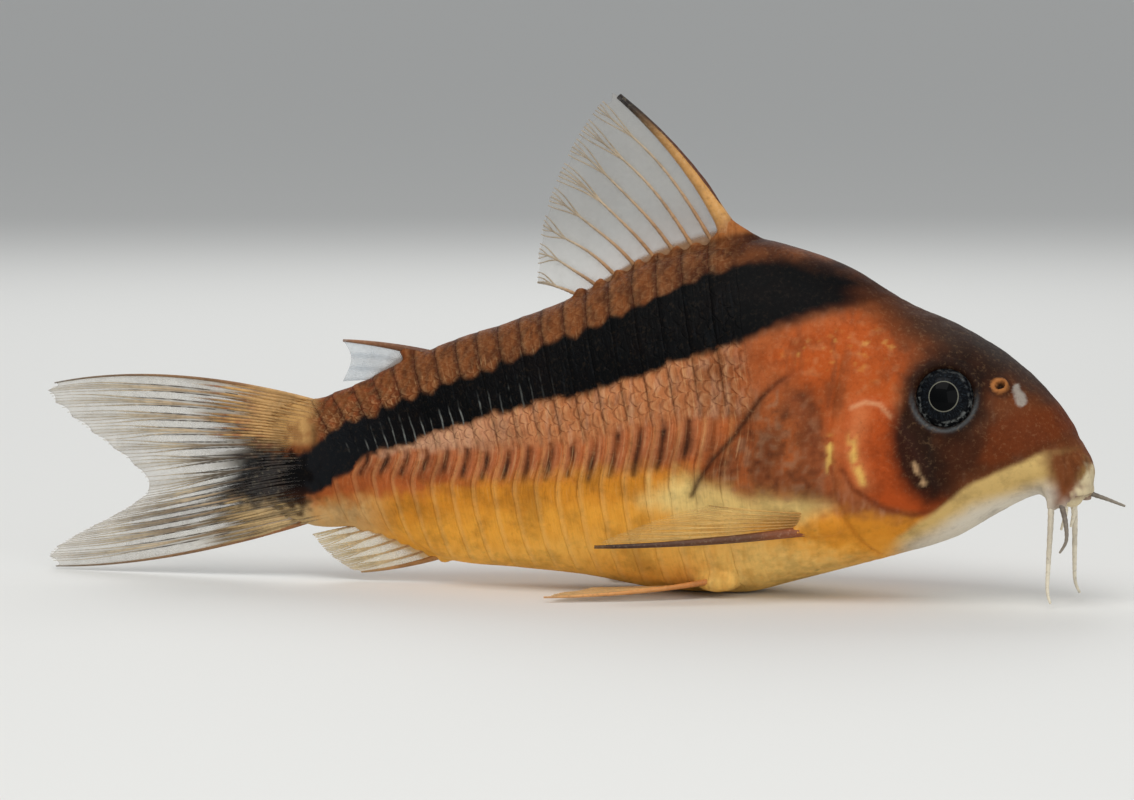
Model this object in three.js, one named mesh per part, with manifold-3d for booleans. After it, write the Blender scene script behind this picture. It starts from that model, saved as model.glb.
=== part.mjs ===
// A corydoras catfish, life size, resting on its breast and pelvic fins on a level floor.
// Millimetres, +Z up, the snout towards +X, the fish's left side towards +Y.
// The origin is the middle of the small flat under the breast on which the fish rests.
// The fish is first shaped straight and even on both sides, and bendAll then curves its spine a little.
import * as THREE from "three";
import { mergeVertices } from "three/addons/utils/BufferGeometryUtils.js";
import Module from "manifold-3d";

const wasm = await Module();
wasm.setup();

const mix = THREE.MathUtils.lerp;

// Driving dimensions
const GAP = 0.3; // between nodes that touch
const FIN_THICK = 0.5; // fin membrane
const RAY_THICK = 0.8; // fin membrane and the ray that stands out of both its faces
const RAY_TIP = 0.3; // both, at the fin's outer edge
const FIN_NOTCH = 0.03; // how much shorter the membrane is between two rays, of the ray's length
const SOCKET_DEPTH = 0.9; // how far a fin's root sits in the body
const AROUND = 32; // points round the body
const PLATES = 20; // bony plates in each row
const FIRST_PLATE = 4.6; // where the rows of plates start, behind the shoulder
const PLATE_PITCH = 1.34; // along the tail
const PLATE_PITCH_EXTRA = 0.42; // what the first plates have more
const PLATE_RISE = 0.24; // how far a plate's rear edge stands proud
const PLATE_LEAN = 2.3; // how far a plate of the upper row leans back from the belt to the back
const LOWER_LEAN = 1.1; // and forward from the belt to the belly in the lower row
const BARBEL = { root: 0.3, tip: 0.16 };
const HEAD_TURN = 0.0055; // the head curves towards the fish's right
const HEAD_TURN_FROM = 4;
const TAIL_TURN = 0.0012; // and the tail a little to the left
const TAIL_TURN_FROM = -8;
const BODY_END = -26.7;
const TAIL_CUT = -12.0; // where the trunk ends and the tail begins
const GILL_CUT = 9.4; // the gill opening, where the head begins, at the height of the belt
const SNOUT = 24.6;

// Stations of the body, from tail to snout: along, top, bottom, belt (the widest level), half width there,
// and how full the section is above and below the belt (2 is an ellipse, more is boxier, less is a ridge).
const STATIONS = [
  { v: -26.7, top: 10.2, bottom: 4.6, belt: 7.4, half: 0.55, up: 2.0, low: 2.0 },
  { v: -26.0, top: 11.2, bottom: 3.5, belt: 7.45, half: 1.0, up: 2.0, low: 2.0 },
  { v: -24.3, top: 11.5, bottom: 3.2, belt: 7.6, half: 1.5, up: 2.0, low: 2.0 },
  { v: -21.3, top: 12.75, bottom: 3.3, belt: 8.0, half: 2.15, up: 1.95, low: 2.0 },
  { v: -18.3, top: 14.2, bottom: 2.3, belt: 8.25, half: 2.85, up: 1.9, low: 2.05 },
  { v: -15.8, top: 15.25, bottom: 1.35, belt: 8.5, half: 3.4, up: 1.85, low: 2.15 },
  { v: -11.5, top: 16.7, bottom: 1.05, belt: 8.85, half: 4.15, up: 1.8, low: 2.3 },
  { v: -7.0, top: 18.5, bottom: 0.7, belt: 9.3, half: 4.95, up: 1.75, low: 2.35 },
  { v: -3.0, top: 20.4, bottom: 0.05, belt: 10.4, half: 5.6, up: 1.72, low: 2.35 },
  { v: 0.5, top: 21.35, bottom: -0.2, belt: 11.0, half: 6.0, up: 1.7, low: 2.3 },
  { v: 3.2, top: 21.9, bottom: -0.1, belt: 11.1, half: 6.2, up: 1.7, low: 2.3 },
  { v: 6.2, top: 21.3, bottom: 0.7, belt: 10.6, half: 6.25, up: 1.75, low: 2.3 },
  { v: 9.4, top: 20.15, bottom: 1.6, belt: 9.9, half: 6.0, up: 1.85, low: 2.3 },
  { v: 12.8, top: 18.15, bottom: 2.6, belt: 9.4, half: 5.6, up: 1.95, low: 2.25 },
  { v: 16.0, top: 16.8, bottom: 3.65, belt: 9.4, half: 5.0, up: 2.05, low: 2.2 },
  { v: 18.8, top: 15.25, bottom: 5.3, belt: 9.5, half: 4.2, up: 2.15, low: 2.1 },
  { v: 21.0, top: 13.5, bottom: 6.45, belt: 9.4, half: 3.4, up: 2.15, low: 2.1 },
  { v: 22.7, top: 11.6, bottom: 6.7, belt: 8.9, half: 2.6, up: 2.1, low: 2.1 },
  { v: 23.8, top: 9.75, bottom: 6.9, belt: 8.3, half: 1.8, up: 2.0, low: 2.0 },
  { v: 24.6, top: 8.4, bottom: 7.2, belt: 7.8, half: 0.8, up: 2.0, low: 2.0 },
];

// A smooth curve through one column of the stations.
function along(column) {
  const last = STATIONS.length - 1;
  const slope = (i) => {
    const a = STATIONS[Math.max(i - 1, 0)];
    const b = STATIONS[Math.min(i + 1, last)];
    return (b[column] - a[column]) / (b.v - a.v);
  };
  return (v) => {
    const at = THREE.MathUtils.clamp(v, STATIONS[0].v, STATIONS[last].v);
    let i = 0;
    while (i < last - 1 && STATIONS[i + 1].v < at) i += 1;
    const a = STATIONS[i];
    const b = STATIONS[i + 1];
    const span = b.v - a.v;
    const t = (at - a.v) / span;
    const rise = t * t * (3 - 2 * t);
    return (
      a[column] * (1 - rise) +
      b[column] * rise +
      span * slope(i) * t * (1 - t) * (1 - t) -
      span * slope(i + 1) * t * t * (1 - t)
    );
  };
}
const topOf = along("top");
const bottomOf = along("bottom");
const beltOf = along("belt");
const halfOf = along("half");
const upOf = along("up");
const lowOf = along("low");

// A point of the straight body: v along it, and the angle round it from the left belt over the back.
// proud moves it out along the section's own normal.
function bodyPoint(v, angle, proud = 0) {
  const c = Math.cos(angle);
  const s = Math.sin(angle);
  const power = 2 / (s >= 0 ? upOf(v) : lowOf(v));
  const half = halfOf(v);
  const belt = beltOf(v);
  const height = s >= 0 ? topOf(v) - belt : belt - bottomOf(v);
  const y = half * Math.sign(c) * Math.abs(c) ** power;
  const up = height * Math.sign(s) * Math.abs(s) ** power;
  const ny = c / half;
  const nz = s / height;
  const size = Math.hypot(ny, nz);
  return new THREE.Vector3(v, y + (proud * ny) / size, belt + up + (proud * nz) / size);
}

// Half the body's width at a place along it and a height, for setting things on the flank.
function flankAt(v, z) {
  const belt = beltOf(v);
  const above = z >= belt;
  const share = Math.min(Math.abs(z - belt) / (above ? topOf(v) - belt : belt - bottomOf(v)), 1);
  const n = above ? upOf(v) : lowOf(v);
  return halfOf(v) * (1 - share ** n) ** (1 / n);
}

// The curve of the spine.
function bendAll(p) {
  let side = 0;
  let slope = 0;
  if (p.x > HEAD_TURN_FROM) {
    side = -HEAD_TURN * (p.x - HEAD_TURN_FROM) ** 2;
    slope = -2 * HEAD_TURN * (p.x - HEAD_TURN_FROM);
  } else if (p.x < TAIL_TURN_FROM) {
    side = TAIL_TURN * (p.x - TAIL_TURN_FROM) ** 2;
    slope = 2 * TAIL_TURN * (p.x - TAIL_TURN_FROM);
  }
  const length = Math.hypot(1, slope);
  return new THREE.Vector3(p.x - (p.y * slope) / length, side + p.y / length, p.z);
}

// Solids

function solidOf(geometry) {
  const bare = geometry.index ? geometry.clone() : geometry;
  bare.deleteAttribute("normal");
  bare.deleteAttribute("uv");
  const merged = mergeVertices(bare, 1e-4);
  return new wasm.Manifold(
    new wasm.Mesh({
      numProp: 3,
      vertProperties: new Float32Array(merged.attributes.position.array),
      triVerts: new Uint32Array(merged.index.array),
    }),
  );
}

// Keeps the largest closed surface of a solid.
function mainBody(solid) {
  return solid.decompose().reduce((best, one) => (one.volume() > best.volume() ? one : best));
}

// A closed solid through rings of points, each ring closed on itself, with an end fan at both ends.
function ringSolid(rings) {
  const count = rings[0].length;
  const points = rings.flat().map(bendAll);
  const faces = [];
  for (let i = 0; i + 1 < rings.length; i += 1)
    for (let j = 0; j < count; j += 1) {
      const k = (j + 1) % count;
      const a = i * count + j;
      const b = i * count + k;
      faces.push(a, b, b + count, a, b + count, a + count);
    }
  for (const i of [0, rings.length - 1]) {
    const middle = points.length;
    const sum = new THREE.Vector3();
    for (let j = 0; j < count; j += 1) sum.add(points[i * count + j]);
    points.push(sum.divideScalar(count));
    for (let j = 0; j < count; j += 1) {
      const a = i * count + j;
      const b = i * count + ((j + 1) % count);
      faces.push(...(i === 0 ? [middle, b, a] : [middle, a, b]));
    }
  }
  return closedSolid(points, faces);
}

function closedSolid(points, faces) {
  const geometry = new THREE.BufferGeometry().setFromPoints(points);
  geometry.setIndex(faces);
  const solid = solidOf(geometry);
  if (solid.volume() > 0) return solid;
  for (let i = 0; i < faces.length; i += 3) [faces[i + 1], faces[i + 2]] = [faces[i + 2], faces[i + 1]];
  geometry.setIndex(faces);
  return solidOf(geometry);
}

// A rounded lump, placed and turned in the straight fish, then bent with it.
function lump(place, size, turn = [0, 0, 0], detail = 10) {
  const ball = new THREE.SphereGeometry(1, detail, Math.round(detail * 0.7));
  const matrix = new THREE.Matrix4().compose(
    new THREE.Vector3(...place),
    new THREE.Quaternion().setFromEuler(new THREE.Euler(...turn)),
    new THREE.Vector3(...size),
  );
  ball.applyMatrix4(matrix);
  return bentSolid(ball);
}

function bentSolid(geometry) {
  const place = geometry.attributes.position;
  const p = new THREE.Vector3();
  for (let i = 0; i < place.count; i += 1) {
    const q = bendAll(p.fromBufferAttribute(place, i));
    place.setXYZ(i, q.x, q.y, q.z);
  }
  return solidOf(geometry);
}

// A tapered round feeler or tube along a smooth path.
function taper(path, rootRadius, tipRadius, steps = 14, sides = 8) {
  const curve = new THREE.CatmullRomCurve3(path.map((p) => new THREE.Vector3(...p)), false, "centripetal");
  const frames = curve.computeFrenetFrames(steps, false);
  const rings = [];
  for (let i = 0; i <= steps; i += 1) {
    const t = i / steps;
    const radius = rootRadius * (1 - t) + tipRadius * t;
    const centre = curve.getPointAt(t);
    rings.push(
      Array.from({ length: sides }, (_, j) => {
        const a = (2 * Math.PI * j) / sides;
        return centre
          .clone()
          .addScaledVector(frames.normals[i], radius * Math.cos(a))
          .addScaledVector(frames.binormals[i], radius * Math.sin(a));
      }),
    );
  }
  return ringSolid(rings);
}

// Body

// How far a ring of the body is swept along v at an angle round it: plates lean back above the belt,
// and the lower row is set half a plate behind the upper one and leans forward.
function sweep(angle, share) {
  const s = Math.sin(angle);
  const upper = -PLATE_LEAN * Math.max(s, 0) ** 1.3;
  const lower = -0.5 * PLATE_PITCH + LOWER_LEAN * Math.max(-s, 0) ** 1.6;
  const edge = THREE.MathUtils.smoothstep(-s, 0.02, 0.16);
  const plates = s >= 0 ? upper : lower * edge;
  const gill = 0.9 * s * s + (s < 0 ? 1.9 * s * s : 0.4 * s);
  return plates * (1 - share) + gill * share;
}

// Where a ring lies along v: share is 1 at the gill opening and 0 where the plates start.
function ringAt(v, proudOf) {
  const share = THREE.MathUtils.smoothstep(v, FIRST_PLATE, GILL_CUT);
  return Array.from({ length: AROUND }, (_, j) => {
    const angle = (2 * Math.PI * (j + 0.5)) / AROUND;
    return bodyPoint(v + sweep(angle, share), angle, proudOf(angle));
  });
}

// Plates stand proud on the flanks, with a seam along the belt, and there are none under the belly.
function plateHeight(angle) {
  const s = Math.sin(angle);
  const belly = 1 - THREE.MathUtils.smoothstep(-s, 0.86, 0.97);
  const seam = THREE.MathUtils.smoothstep(Math.abs(s), 0.0, 0.1);
  return PLATE_RISE * belly * (0.35 + 0.65 * seam);
}

const plateStarts = [FIRST_PLATE];
for (let i = 0; i < PLATES; i += 1)
  plateStarts.push(plateStarts[i] - PLATE_PITCH - PLATE_PITCH_EXTRA * Math.exp(-i / 4));

function plateRings(from, to) {
  const rings = [];
  for (let i = 0; i < PLATES; i += 1) {
    const start = plateStarts[i];
    const end = plateStarts[i + 1];
    if (start > from + 1e-6 || end < to) continue;
    rings.push(ringAt(start - 0.02, () => 0));
    rings.push(ringAt(end + 0.12 * (start - end), plateHeight));
  }
  return rings;
}

const cutPlate = plateStarts.findIndex((v) => v < TAIL_CUT);
const cutAt = plateStarts[cutPlate];

const trunkRings = [];
for (const t of [0, 0.25, 0.5, 0.75, 1])
  trunkRings.push(ringAt(THREE.MathUtils.lerp(GILL_CUT - GAP, FIRST_PLATE + 0.3, t), () => 0));
trunkRings.push(...plateRings(FIRST_PLATE, cutAt));
trunkRings.push(ringAt(cutAt, () => 0));

const tailRings = [ringAt(cutAt - GAP, () => 0)];
tailRings.push(...plateRings(cutAt, plateStarts[PLATES - 1]).slice(1));
for (const v of [BODY_END + 1.8, BODY_END + 1, BODY_END]) {
  const tight = 1 - THREE.MathUtils.smoothstep(v, BODY_END + 0.5, BODY_END + 2.7);
  tailRings.push(
    Array.from({ length: AROUND }, (_, j) => {
      const angle = (2 * Math.PI * (j + 0.5)) / AROUND;
      return bodyPoint(v + sweep(angle, 0) * 0.25 * (1 - tight), angle);
    }),
  );
}

let trunk = ringSolid(trunkRings.reverse());
let tail = ringSolid(tailRings.reverse());

// Head: rings from the gill opening to the snout, with the sweep fading out.
const HEAD_STEPS = 15;
const HEAD_EVEN = 16; // where the rings stand upright
const HEAD_RINGS = Array.from({ length: HEAD_STEPS + 1 }, (_, i) => {
  const t = i / HEAD_STEPS;
  return THREE.MathUtils.lerp(GILL_CUT, SNOUT, t * (1.45 - 0.45 * t));
});
function gillCover(v, angle) {
  // The bony gill cover stands a little proud behind and below the eye.
  const s = Math.sin(angle);
  const lengthways = 1 - Math.min(Math.abs(v - 11.6) / 2.6, 1) ** 2;
  const upAndDown = 1 - Math.min(Math.abs(s + 0.25) / 0.6, 1) ** 2;
  return 0.28 * Math.sqrt(Math.max(lengthways, 0) * Math.max(upAndDown, 0));
}
const headRings = HEAD_RINGS.map((v) => {
  const fade = THREE.MathUtils.smoothstep(v, GILL_CUT, HEAD_EVEN);
  return Array.from({ length: AROUND }, (_, j) => {
    const angle = (2 * Math.PI * (j + 0.5)) / AROUND;
    const swept = Math.min(v + sweep(angle, 1) * (1 - fade), SNOUT);
    return bodyPoint(swept, angle, gillCover(v, angle));
  });
});
let head = ringSolid(headRings);

// Snout, lips and nostrils
const MOUTH = { x: 23.7, z: 6.7, half: 2.1, lip: 0.55 };
const snoutHood = lump([MOUTH.x - 0.8, 0, MOUTH.z + 1.2], [1.6, 2.4, 1.9], [0, 0.35, 0], 12);
const lipPath = [
  [MOUTH.x - 0.9, -MOUTH.half, MOUTH.z - 0.1],
  [MOUTH.x + 0.1, -1.5, MOUTH.z - 0.15],
  [MOUTH.x + 0.45, 0, MOUTH.z + 0.1],
  [MOUTH.x + 0.1, 1.5, MOUTH.z - 0.15],
  [MOUTH.x - 0.9, MOUTH.half, MOUTH.z - 0.1],
];
const upperLip = taper(lipPath, MOUTH.lip, MOUTH.lip, 12);
const lowerLip = lump([MOUTH.x - 0.65, 0, MOUTH.z - 0.3], [0.95, 1.5, 0.5], [0, 0.2, 0], 10);
const mouthSlit = lump([MOUTH.x + 0.05, 0, MOUTH.z - 0.45], [0.75, 1.25, 0.2], [0, 0.2, 0], 8);
const sides = [-1, 1];
const nostrils = sides.map((side) => {
  const rear = [19.6, side * 2.75, 13.2];
  const front = [20.6, side * 2.2, 12.8];
  return lump(rear, [0.45, 0.35, 0.5], [side * -0.8, 0, 0], 8).add(
    lump(front, [0.3, 0.22, 0.62], [side * -0.5, -0.3, 0], 8),
  );
});
const jawCorners = sides.map((side) => {
  const corner = [MOUTH.x - 0.7, side * (MOUTH.half - 0.05), MOUTH.z];
  return lump(corner, [0.75, 0.55, 0.75], [0, 0, 0], 8);
});

head = head.add(snoutHood).add(upperLip).add(lowerLip);
for (const piece of [...nostrils, ...jawCorners]) head = head.add(piece);
head = head.subtract(mouthSlit);

// Eyes
const EYE = { v: 16.35, z: 12.5, radius: 1.85, deep: 1.33, out: 0.5, tilt: 0.22, toe: 0.2, rim: 0.75 };
const eyes = {};
for (const side of sides) {
  const place = [EYE.v, side * (flankAt(EYE.v, EYE.z) + EYE.out - EYE.deep), EYE.z];
  const turn = [side * EYE.tilt, 0, side * -EYE.toe];
  const globe = (wide, deep) => {
    const radius = EYE.radius + wide;
    return lump(place, [radius, EYE.deep + deep, radius], turn, 16);
  };
  head = head.add(globe(EYE.rim, -GAP)).subtract(globe(GAP, GAP));
  eyes[side < 0 ? "eye_right" : "eye_left"] = globe(0, 0);
}

// Fins

// A fin is a sheet between rays. Each ray is a root, a control point and a tip in the straight fish, and
// across is the way the fin's faces look. Rows run along the rays, each ray stands out of both faces, and
// the row before the first lies in the body. Without ridges and grown all round, the sheet is the socket.
function fin(spec) {
  const { rays, across, rows, first = RAY_THICK } = spec;
  const { thick = FIN_THICK, ridges = true, grow = 0, tip = RAY_TIP } = spec;
  const columns = [];
  rays.forEach((ray, i) => {
    const full = i === 0 ? first : RAY_THICK;
    columns.push({ ray, full: ridges ? full : thick, short: 0 });
    const next = rays[i + 1];
    if (!next) return;
    for (const share of ridges ? [0.25, 0.75] : [0.5]) {
      const between = ray.map((p, k) => p.map((value, n) => mix(value, next[k][n], share)));
      columns.push({ ray: between, full: thick, short: FIN_NOTCH });
    }
  });
  const grid = [];
  for (let row = -1; row <= rows; row += 1)
    grid.push(
      columns.map(({ ray, full, short }) => {
        const [root, control, end] = ray.map((p) => new THREE.Vector3(...p));
        const t = (Math.max(row, 0) / rows) * (1 - short * (row / rows));
        const place = root.clone().multiplyScalar((1 - t) ** 2);
        place.addScaledVector(control, 2 * t * (1 - t)).addScaledVector(end, t * t);
        if (row < 0) place.addScaledVector(root.clone().sub(control).normalize(), SOCKET_DEPTH + grow);
        const width = mix(full, Math.min(full, tip), THREE.MathUtils.smoothstep(t, 0.5, 1));
        return { place, half: width / 2 + grow };
      }),
    );
  const facing = new THREE.Vector3(...across).normalize();
  const rowsNow = grid.length;
  const count = columns.length;
  const points = [];
  for (const side of [1, -1])
    for (const { place, half } of grid.flat())
      points.push(bendAll(place.clone().addScaledVector(facing, side * half)));
  const faces = [];
  const back = rowsNow * count;
  for (let i = 0; i + 1 < rowsNow; i += 1)
    for (let j = 0; j + 1 < count; j += 1) {
      const a = i * count + j;
      const [b, c, d] = [a + 1, a + count + 1, a + count];
      faces.push(a, b, c, a, c, d);
      faces.push(back + a, back + c, back + b, back + a, back + d, back + c);
    }
  const rim = [];
  for (let j = 0; j < count; j += 1) rim.push(j);
  for (let i = 1; i < rowsNow; i += 1) rim.push(i * count + count - 1);
  for (let j = count - 2; j >= 0; j -= 1) rim.push((rowsNow - 1) * count + j);
  for (let i = rowsNow - 2; i > 0; i -= 1) rim.push(i * count);
  rim.forEach((a, n) => {
    const b = rim[(n + 1) % rim.length];
    faces.push(b, a, back + a, b, back + a, back + b);
  });
  return closedSolid(points, faces);
}

// Rays spread evenly from the first to the last, each worked out by a rule of its share of the way.
const spread = (count, rule) => Array.from({ length: count }, (_, i) => rule(i / (count - 1)));

// Dorsal fin: a stout spine and eight rays that get shorter towards the back.
const DORSAL = { front: 2.1, rear: -7.6, tipX: -5.7, tipZ: 30.9, trail: 4.8, slope: 12.0 };
const dorsalRays = spread(9, (t) => {
  const x = mix(DORSAL.front, DORSAL.rear, t);
  const root = [x, 0, topOf(x) + 0.1];
  const trail = DORSAL.trail * Math.sin((t * Math.PI) / 2) ** 1.05;
  const end = [DORSAL.tipX - trail, 0.35, DORSAL.tipZ - DORSAL.slope * t ** 1.25];
  const control = [mix(root[0], end[0], 0.45) + 0.7 * (1 - t), 0.1, mix(root[2], end[2], 0.55) + 0.25];
  return [root, control, end];
});

// Caudal fin: forked, with rays fanned from the end of the tail.
const CAUDAL = { root: -26.3, rootUp: 3.9, rootDown: 3.6, forkX: -36.3, forkZ: 5.4, lobe: 7.2, up: 7 };
const CAUDAL_DOWN = 5.35; // the lower lobe, laid on the floor
const CAUDAL_ROUND = 0.9; // how much shorter the outermost rays are, which rounds the lobes
const caudalRays = spread(15, (t) => {
  const s = 1 - 2 * t;
  const lobe = Math.abs(s);
  const half = s > 0 ? CAUDAL.rootUp : CAUDAL.rootDown;
  const root = [CAUDAL.root + 2.0 * lobe ** 3, 0, beltOf(CAUDAL.root) + half * s];
  const round = CAUDAL_ROUND * THREE.MathUtils.smoothstep(lobe, 0.8, 1);
  const reach = CAUDAL.lobe * Math.sin((Math.PI * lobe) / 2) ** 1.35 - round;
  const height = s > 0 ? CAUDAL.up - round / 2 : CAUDAL_DOWN;
  const end = [CAUDAL.forkX - reach, 0.5, CAUDAL.forkZ + Math.sign(s) * height * lobe ** 0.85];
  const bulge = s > 0 ? 2.2 * s ** 2 : -1.7 * lobe ** 2;
  const control = [mix(root[0], end[0], 0.5) - 1.2 * lobe, 0.1, mix(root[2], end[2], 0.5) + bulge];
  return [root, control, end];
});

// Anal fin
const ANAL = { front: -16.4, rear: -21.7 };
const analRays = spread(7, (t) => {
  const x = mix(ANAL.front, ANAL.rear, t);
  const root = [x, 0, bottomOf(x) - 0.1];
  const end = [mix(-21.8, -25.0, t ** 0.8), -0.2, 0.45 + 2.3 * t ** 1.4];
  const control = [mix(root[0], end[0], 0.5), 0, mix(root[2], end[2], 0.5) - 0.3 * (1 - t)];
  return [root, control, end];
});

// Adipose fin: a short spine with a small membrane behind it.
const ADIPOSE = { front: -17.4, rear: -20.9 };
const adiposeRays = spread(4, (t) => {
  const x = mix(ADIPOSE.front, ADIPOSE.rear, t);
  const root = [x, 0, topOf(x) - 0.05];
  const end = [mix(-23.0, -23.2, t), 0, mix(15.1, 12.5, t)];
  const control = [mix(root[0], end[0], 0.5), 0, mix(root[2], end[2], 0.5) + 0.25 * (1 - t)];
  return [root, control, end];
});

// Paired fins, held out from the flank and, further down, spread flat on the floor
const PECTORAL = { x: 8.4, z: 4.5, deep: 0.2, tipX: -4.6, out: 10.3, bow: 0.9, facing: [0.25, 0.83, 0.5] };
const pectoralRays = (side) =>
  spread(8, (t) => {
    const z = PECTORAL.z + 0.8 * t;
    const x = PECTORAL.x - 0.3 * t;
    const root = [x, side * (flankAt(x, z) - PECTORAL.deep), z];
    const end = [PECTORAL.tipX + 6.4 * t ** 1.3, side * mix(PECTORAL.out, 7.0, t ** 0.9), mix(3.7, 6.0, t)];
    const control = root.map((value, n) => mix(value, end[n], 0.5));
    control[1] += side * PECTORAL.bow;
    control[2] -= 0.35 * (1 - t);
    return [root, control, end];
  });

const pelvicRays = (side) =>
  spread(6, (t) => {
    const root = [1.3 - 0.5 * t, side * mix(4.1, 2.4, t), mix(0.95, 0.55, t)];
    const end = [-8.2 + 1.9 * t, side * mix(8.2, 2.9, t ** 0.9), FIN_THICK / 2 - 0.02];
    const control = [mix(root[0], end[0], 0.45), side * mix(7.0, 2.8, t), FIN_THICK / 2 + 0.05];
    return [root, control, end];
  });

const fins = {
  dorsal_fin: { on: "trunk", rays: dorsalRays, across: [0, 1, 0], first: 1.3, rows: 7 },
  caudal_fin: { on: "tail", rays: caudalRays, across: [0, 1, 0], rows: 8, first: 0.9 },
  anal_fin: { on: "tail", rays: analRays, across: [0, 1, 0], rows: 6 },
  adipose_fin: { on: "tail", rays: adiposeRays, across: [0, 1, 0], rows: 5, first: 0.9 },
};
for (const side of sides) {
  const name = side < 0 ? "right" : "left";
  const [fx, fy, fz] = PECTORAL.facing;
  const pectoral = { rays: pectoralRays(side), across: [fx, side * fy, fz], first: 1.2, rows: 6 };
  const pelvic = { rays: pelvicRays(side), across: [0, 0, 1], rows: 5 };
  fins[`pectoral_fin_${name}`] = { on: "trunk", ...pectoral };
  fins[`pelvic_fin_${name}`] = { on: "trunk", ...pelvic };
}

const floorCut = bentSolid(new THREE.BoxGeometry(140, 60, 20, 1, 1, 1).translate(-5, 0, -10));
const solids = {};
for (const [name, spec] of Object.entries(fins)) {
  const socket = fin({ ...spec, ridges: false, thick: spec.first ?? RAY_THICK, grow: GAP, tip: 1 });
  if (spec.on === "trunk") trunk = trunk.subtract(socket);
  else tail = tail.subtract(socket);
  solids[name] = mainBody(fin(spec).subtract(floorCut));
}
trunk = mainBody(trunk.subtract(floorCut));
tail = mainBody(tail.subtract(floorCut));

// Barbels: two at each corner of the mouth and one pair of short flaps under the lower lip.
const hanging = [[23.2, 2.15, 6.9], [23.55, 2.5, 6.1], [23.9, 2.8, 5.1], [24, 3, 4.1], [23.6, 3.05, 3.35]];
const reaching = [[23.2, 2.1, 6.9], [23.8, 2.4, 6.45], [24.7, 2.7, 6.1], [25.7, 2.95, 5.7]];
const feeling = [[22.75, 2.1, 6.8], [22.8, 2.4, 5], [22.75, 2.6, 2.6], [22.75, 2.75, 1], [23, 2.9, 0.2]];
const flap = [[23.2, 0.75, 6.0], [23.2, 0.85, 5.3], [23.0, 0.95, 4.5]];
const barbels = {
  upper_barbel_right: { path: hanging, side: -1 },
  upper_barbel_left: { path: reaching, side: 1 },
  lower_barbel_right: { path: feeling, side: -1 },
  lower_barbel_left: { path: feeling, side: 1 },
  chin_barbel_right: { path: flap, side: -1 },
  chin_barbel_left: { path: flap, side: 1 },
};
for (const [name, { path, side }] of Object.entries(barbels)) {
  const own = path.map(([x, y, z]) => [x, side * y, z]);
  const steps = 3 * path.length - 3;
  head = head.subtract(taper(own, BARBEL.root + GAP, BARBEL.root + GAP, steps, 8));
  solids[name] = mainBody(taper(own, BARBEL.root, BARBEL.tip, steps, 8).subtract(floorCut));
}
head = mainBody(head.subtract(floorCut));

// The model

const COLOURS = {
  skin: [0xb5602c, 0.35],
  fin: [0xc9b48a, 0.4],
  eye: [0x0a0d10, 0.08],
  barbel: [0x8a6a48, 0.4],
};
const model = new THREE.Group();
function place(name, solid, colour) {
  const { vertProperties, triVerts, numProp } = solid.getMesh();
  const geometry = new THREE.BufferGeometry();
  const positions = new Float32Array((vertProperties.length / numProp) * 3);
  for (let i = 0; i < positions.length / 3; i += 1)
    positions.set(vertProperties.subarray(i * numProp, i * numProp + 3), i * 3);
  geometry.setAttribute("position", new THREE.BufferAttribute(positions, 3));
  geometry.setIndex(new THREE.BufferAttribute(new Uint32Array(triVerts), 1));
  const [hex, roughness] = COLOURS[colour];
  const material = new THREE.MeshStandardMaterial({ color: hex, roughness, metalness: 0 });
  const mesh = new THREE.Mesh(geometry, material);
  mesh.name = name;
  model.add(mesh);
}

place("head", head, "skin");
place("trunk", trunk, "skin");
place("tail", tail, "skin");
for (const [name, solid] of Object.entries(eyes)) place(name, solid, "eye");
for (const [name, solid] of Object.entries(solids))
  place(name, solid, name.includes("fin") ? "fin" : "barbel");

export default model;
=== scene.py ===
import math
import bpy
import numpy as np
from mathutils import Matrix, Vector, noise


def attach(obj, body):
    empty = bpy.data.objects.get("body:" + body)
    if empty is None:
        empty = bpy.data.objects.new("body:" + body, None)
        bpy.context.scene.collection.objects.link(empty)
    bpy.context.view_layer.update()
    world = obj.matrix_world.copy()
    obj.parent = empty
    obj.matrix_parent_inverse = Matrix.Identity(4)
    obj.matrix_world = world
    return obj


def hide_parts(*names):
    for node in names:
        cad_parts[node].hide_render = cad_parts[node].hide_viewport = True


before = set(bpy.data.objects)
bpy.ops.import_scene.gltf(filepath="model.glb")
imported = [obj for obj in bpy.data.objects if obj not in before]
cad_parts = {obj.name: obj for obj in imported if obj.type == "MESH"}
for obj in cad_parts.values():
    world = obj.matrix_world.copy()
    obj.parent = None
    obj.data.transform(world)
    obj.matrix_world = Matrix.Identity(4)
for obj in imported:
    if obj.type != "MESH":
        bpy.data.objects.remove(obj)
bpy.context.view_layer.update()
mm = 0.001
scene = bpy.context.scene

# The fish is shaped straight, in millimetres, with the snout towards +X. At the end it is bent and scaled
# to metres.
body = {
    "plates": 20,          # in each row
    "firstPlate": 4.6,     # where the rows start, behind the shoulder
    "platePitch": 1.34,
    "platePitchExtra": 0.42,
    "plateRise": 0.11,
    "gillLine": 9.4,
    "headTurn": 0.0055,    # the head curves to the fish's right
    "headTurnFrom": 4.0,
    "tailTurn": 0.0012,
    "tailTurnFrom": -8.0,
    "voxel": 0.1735,       # fineness of the skin
}

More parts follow.
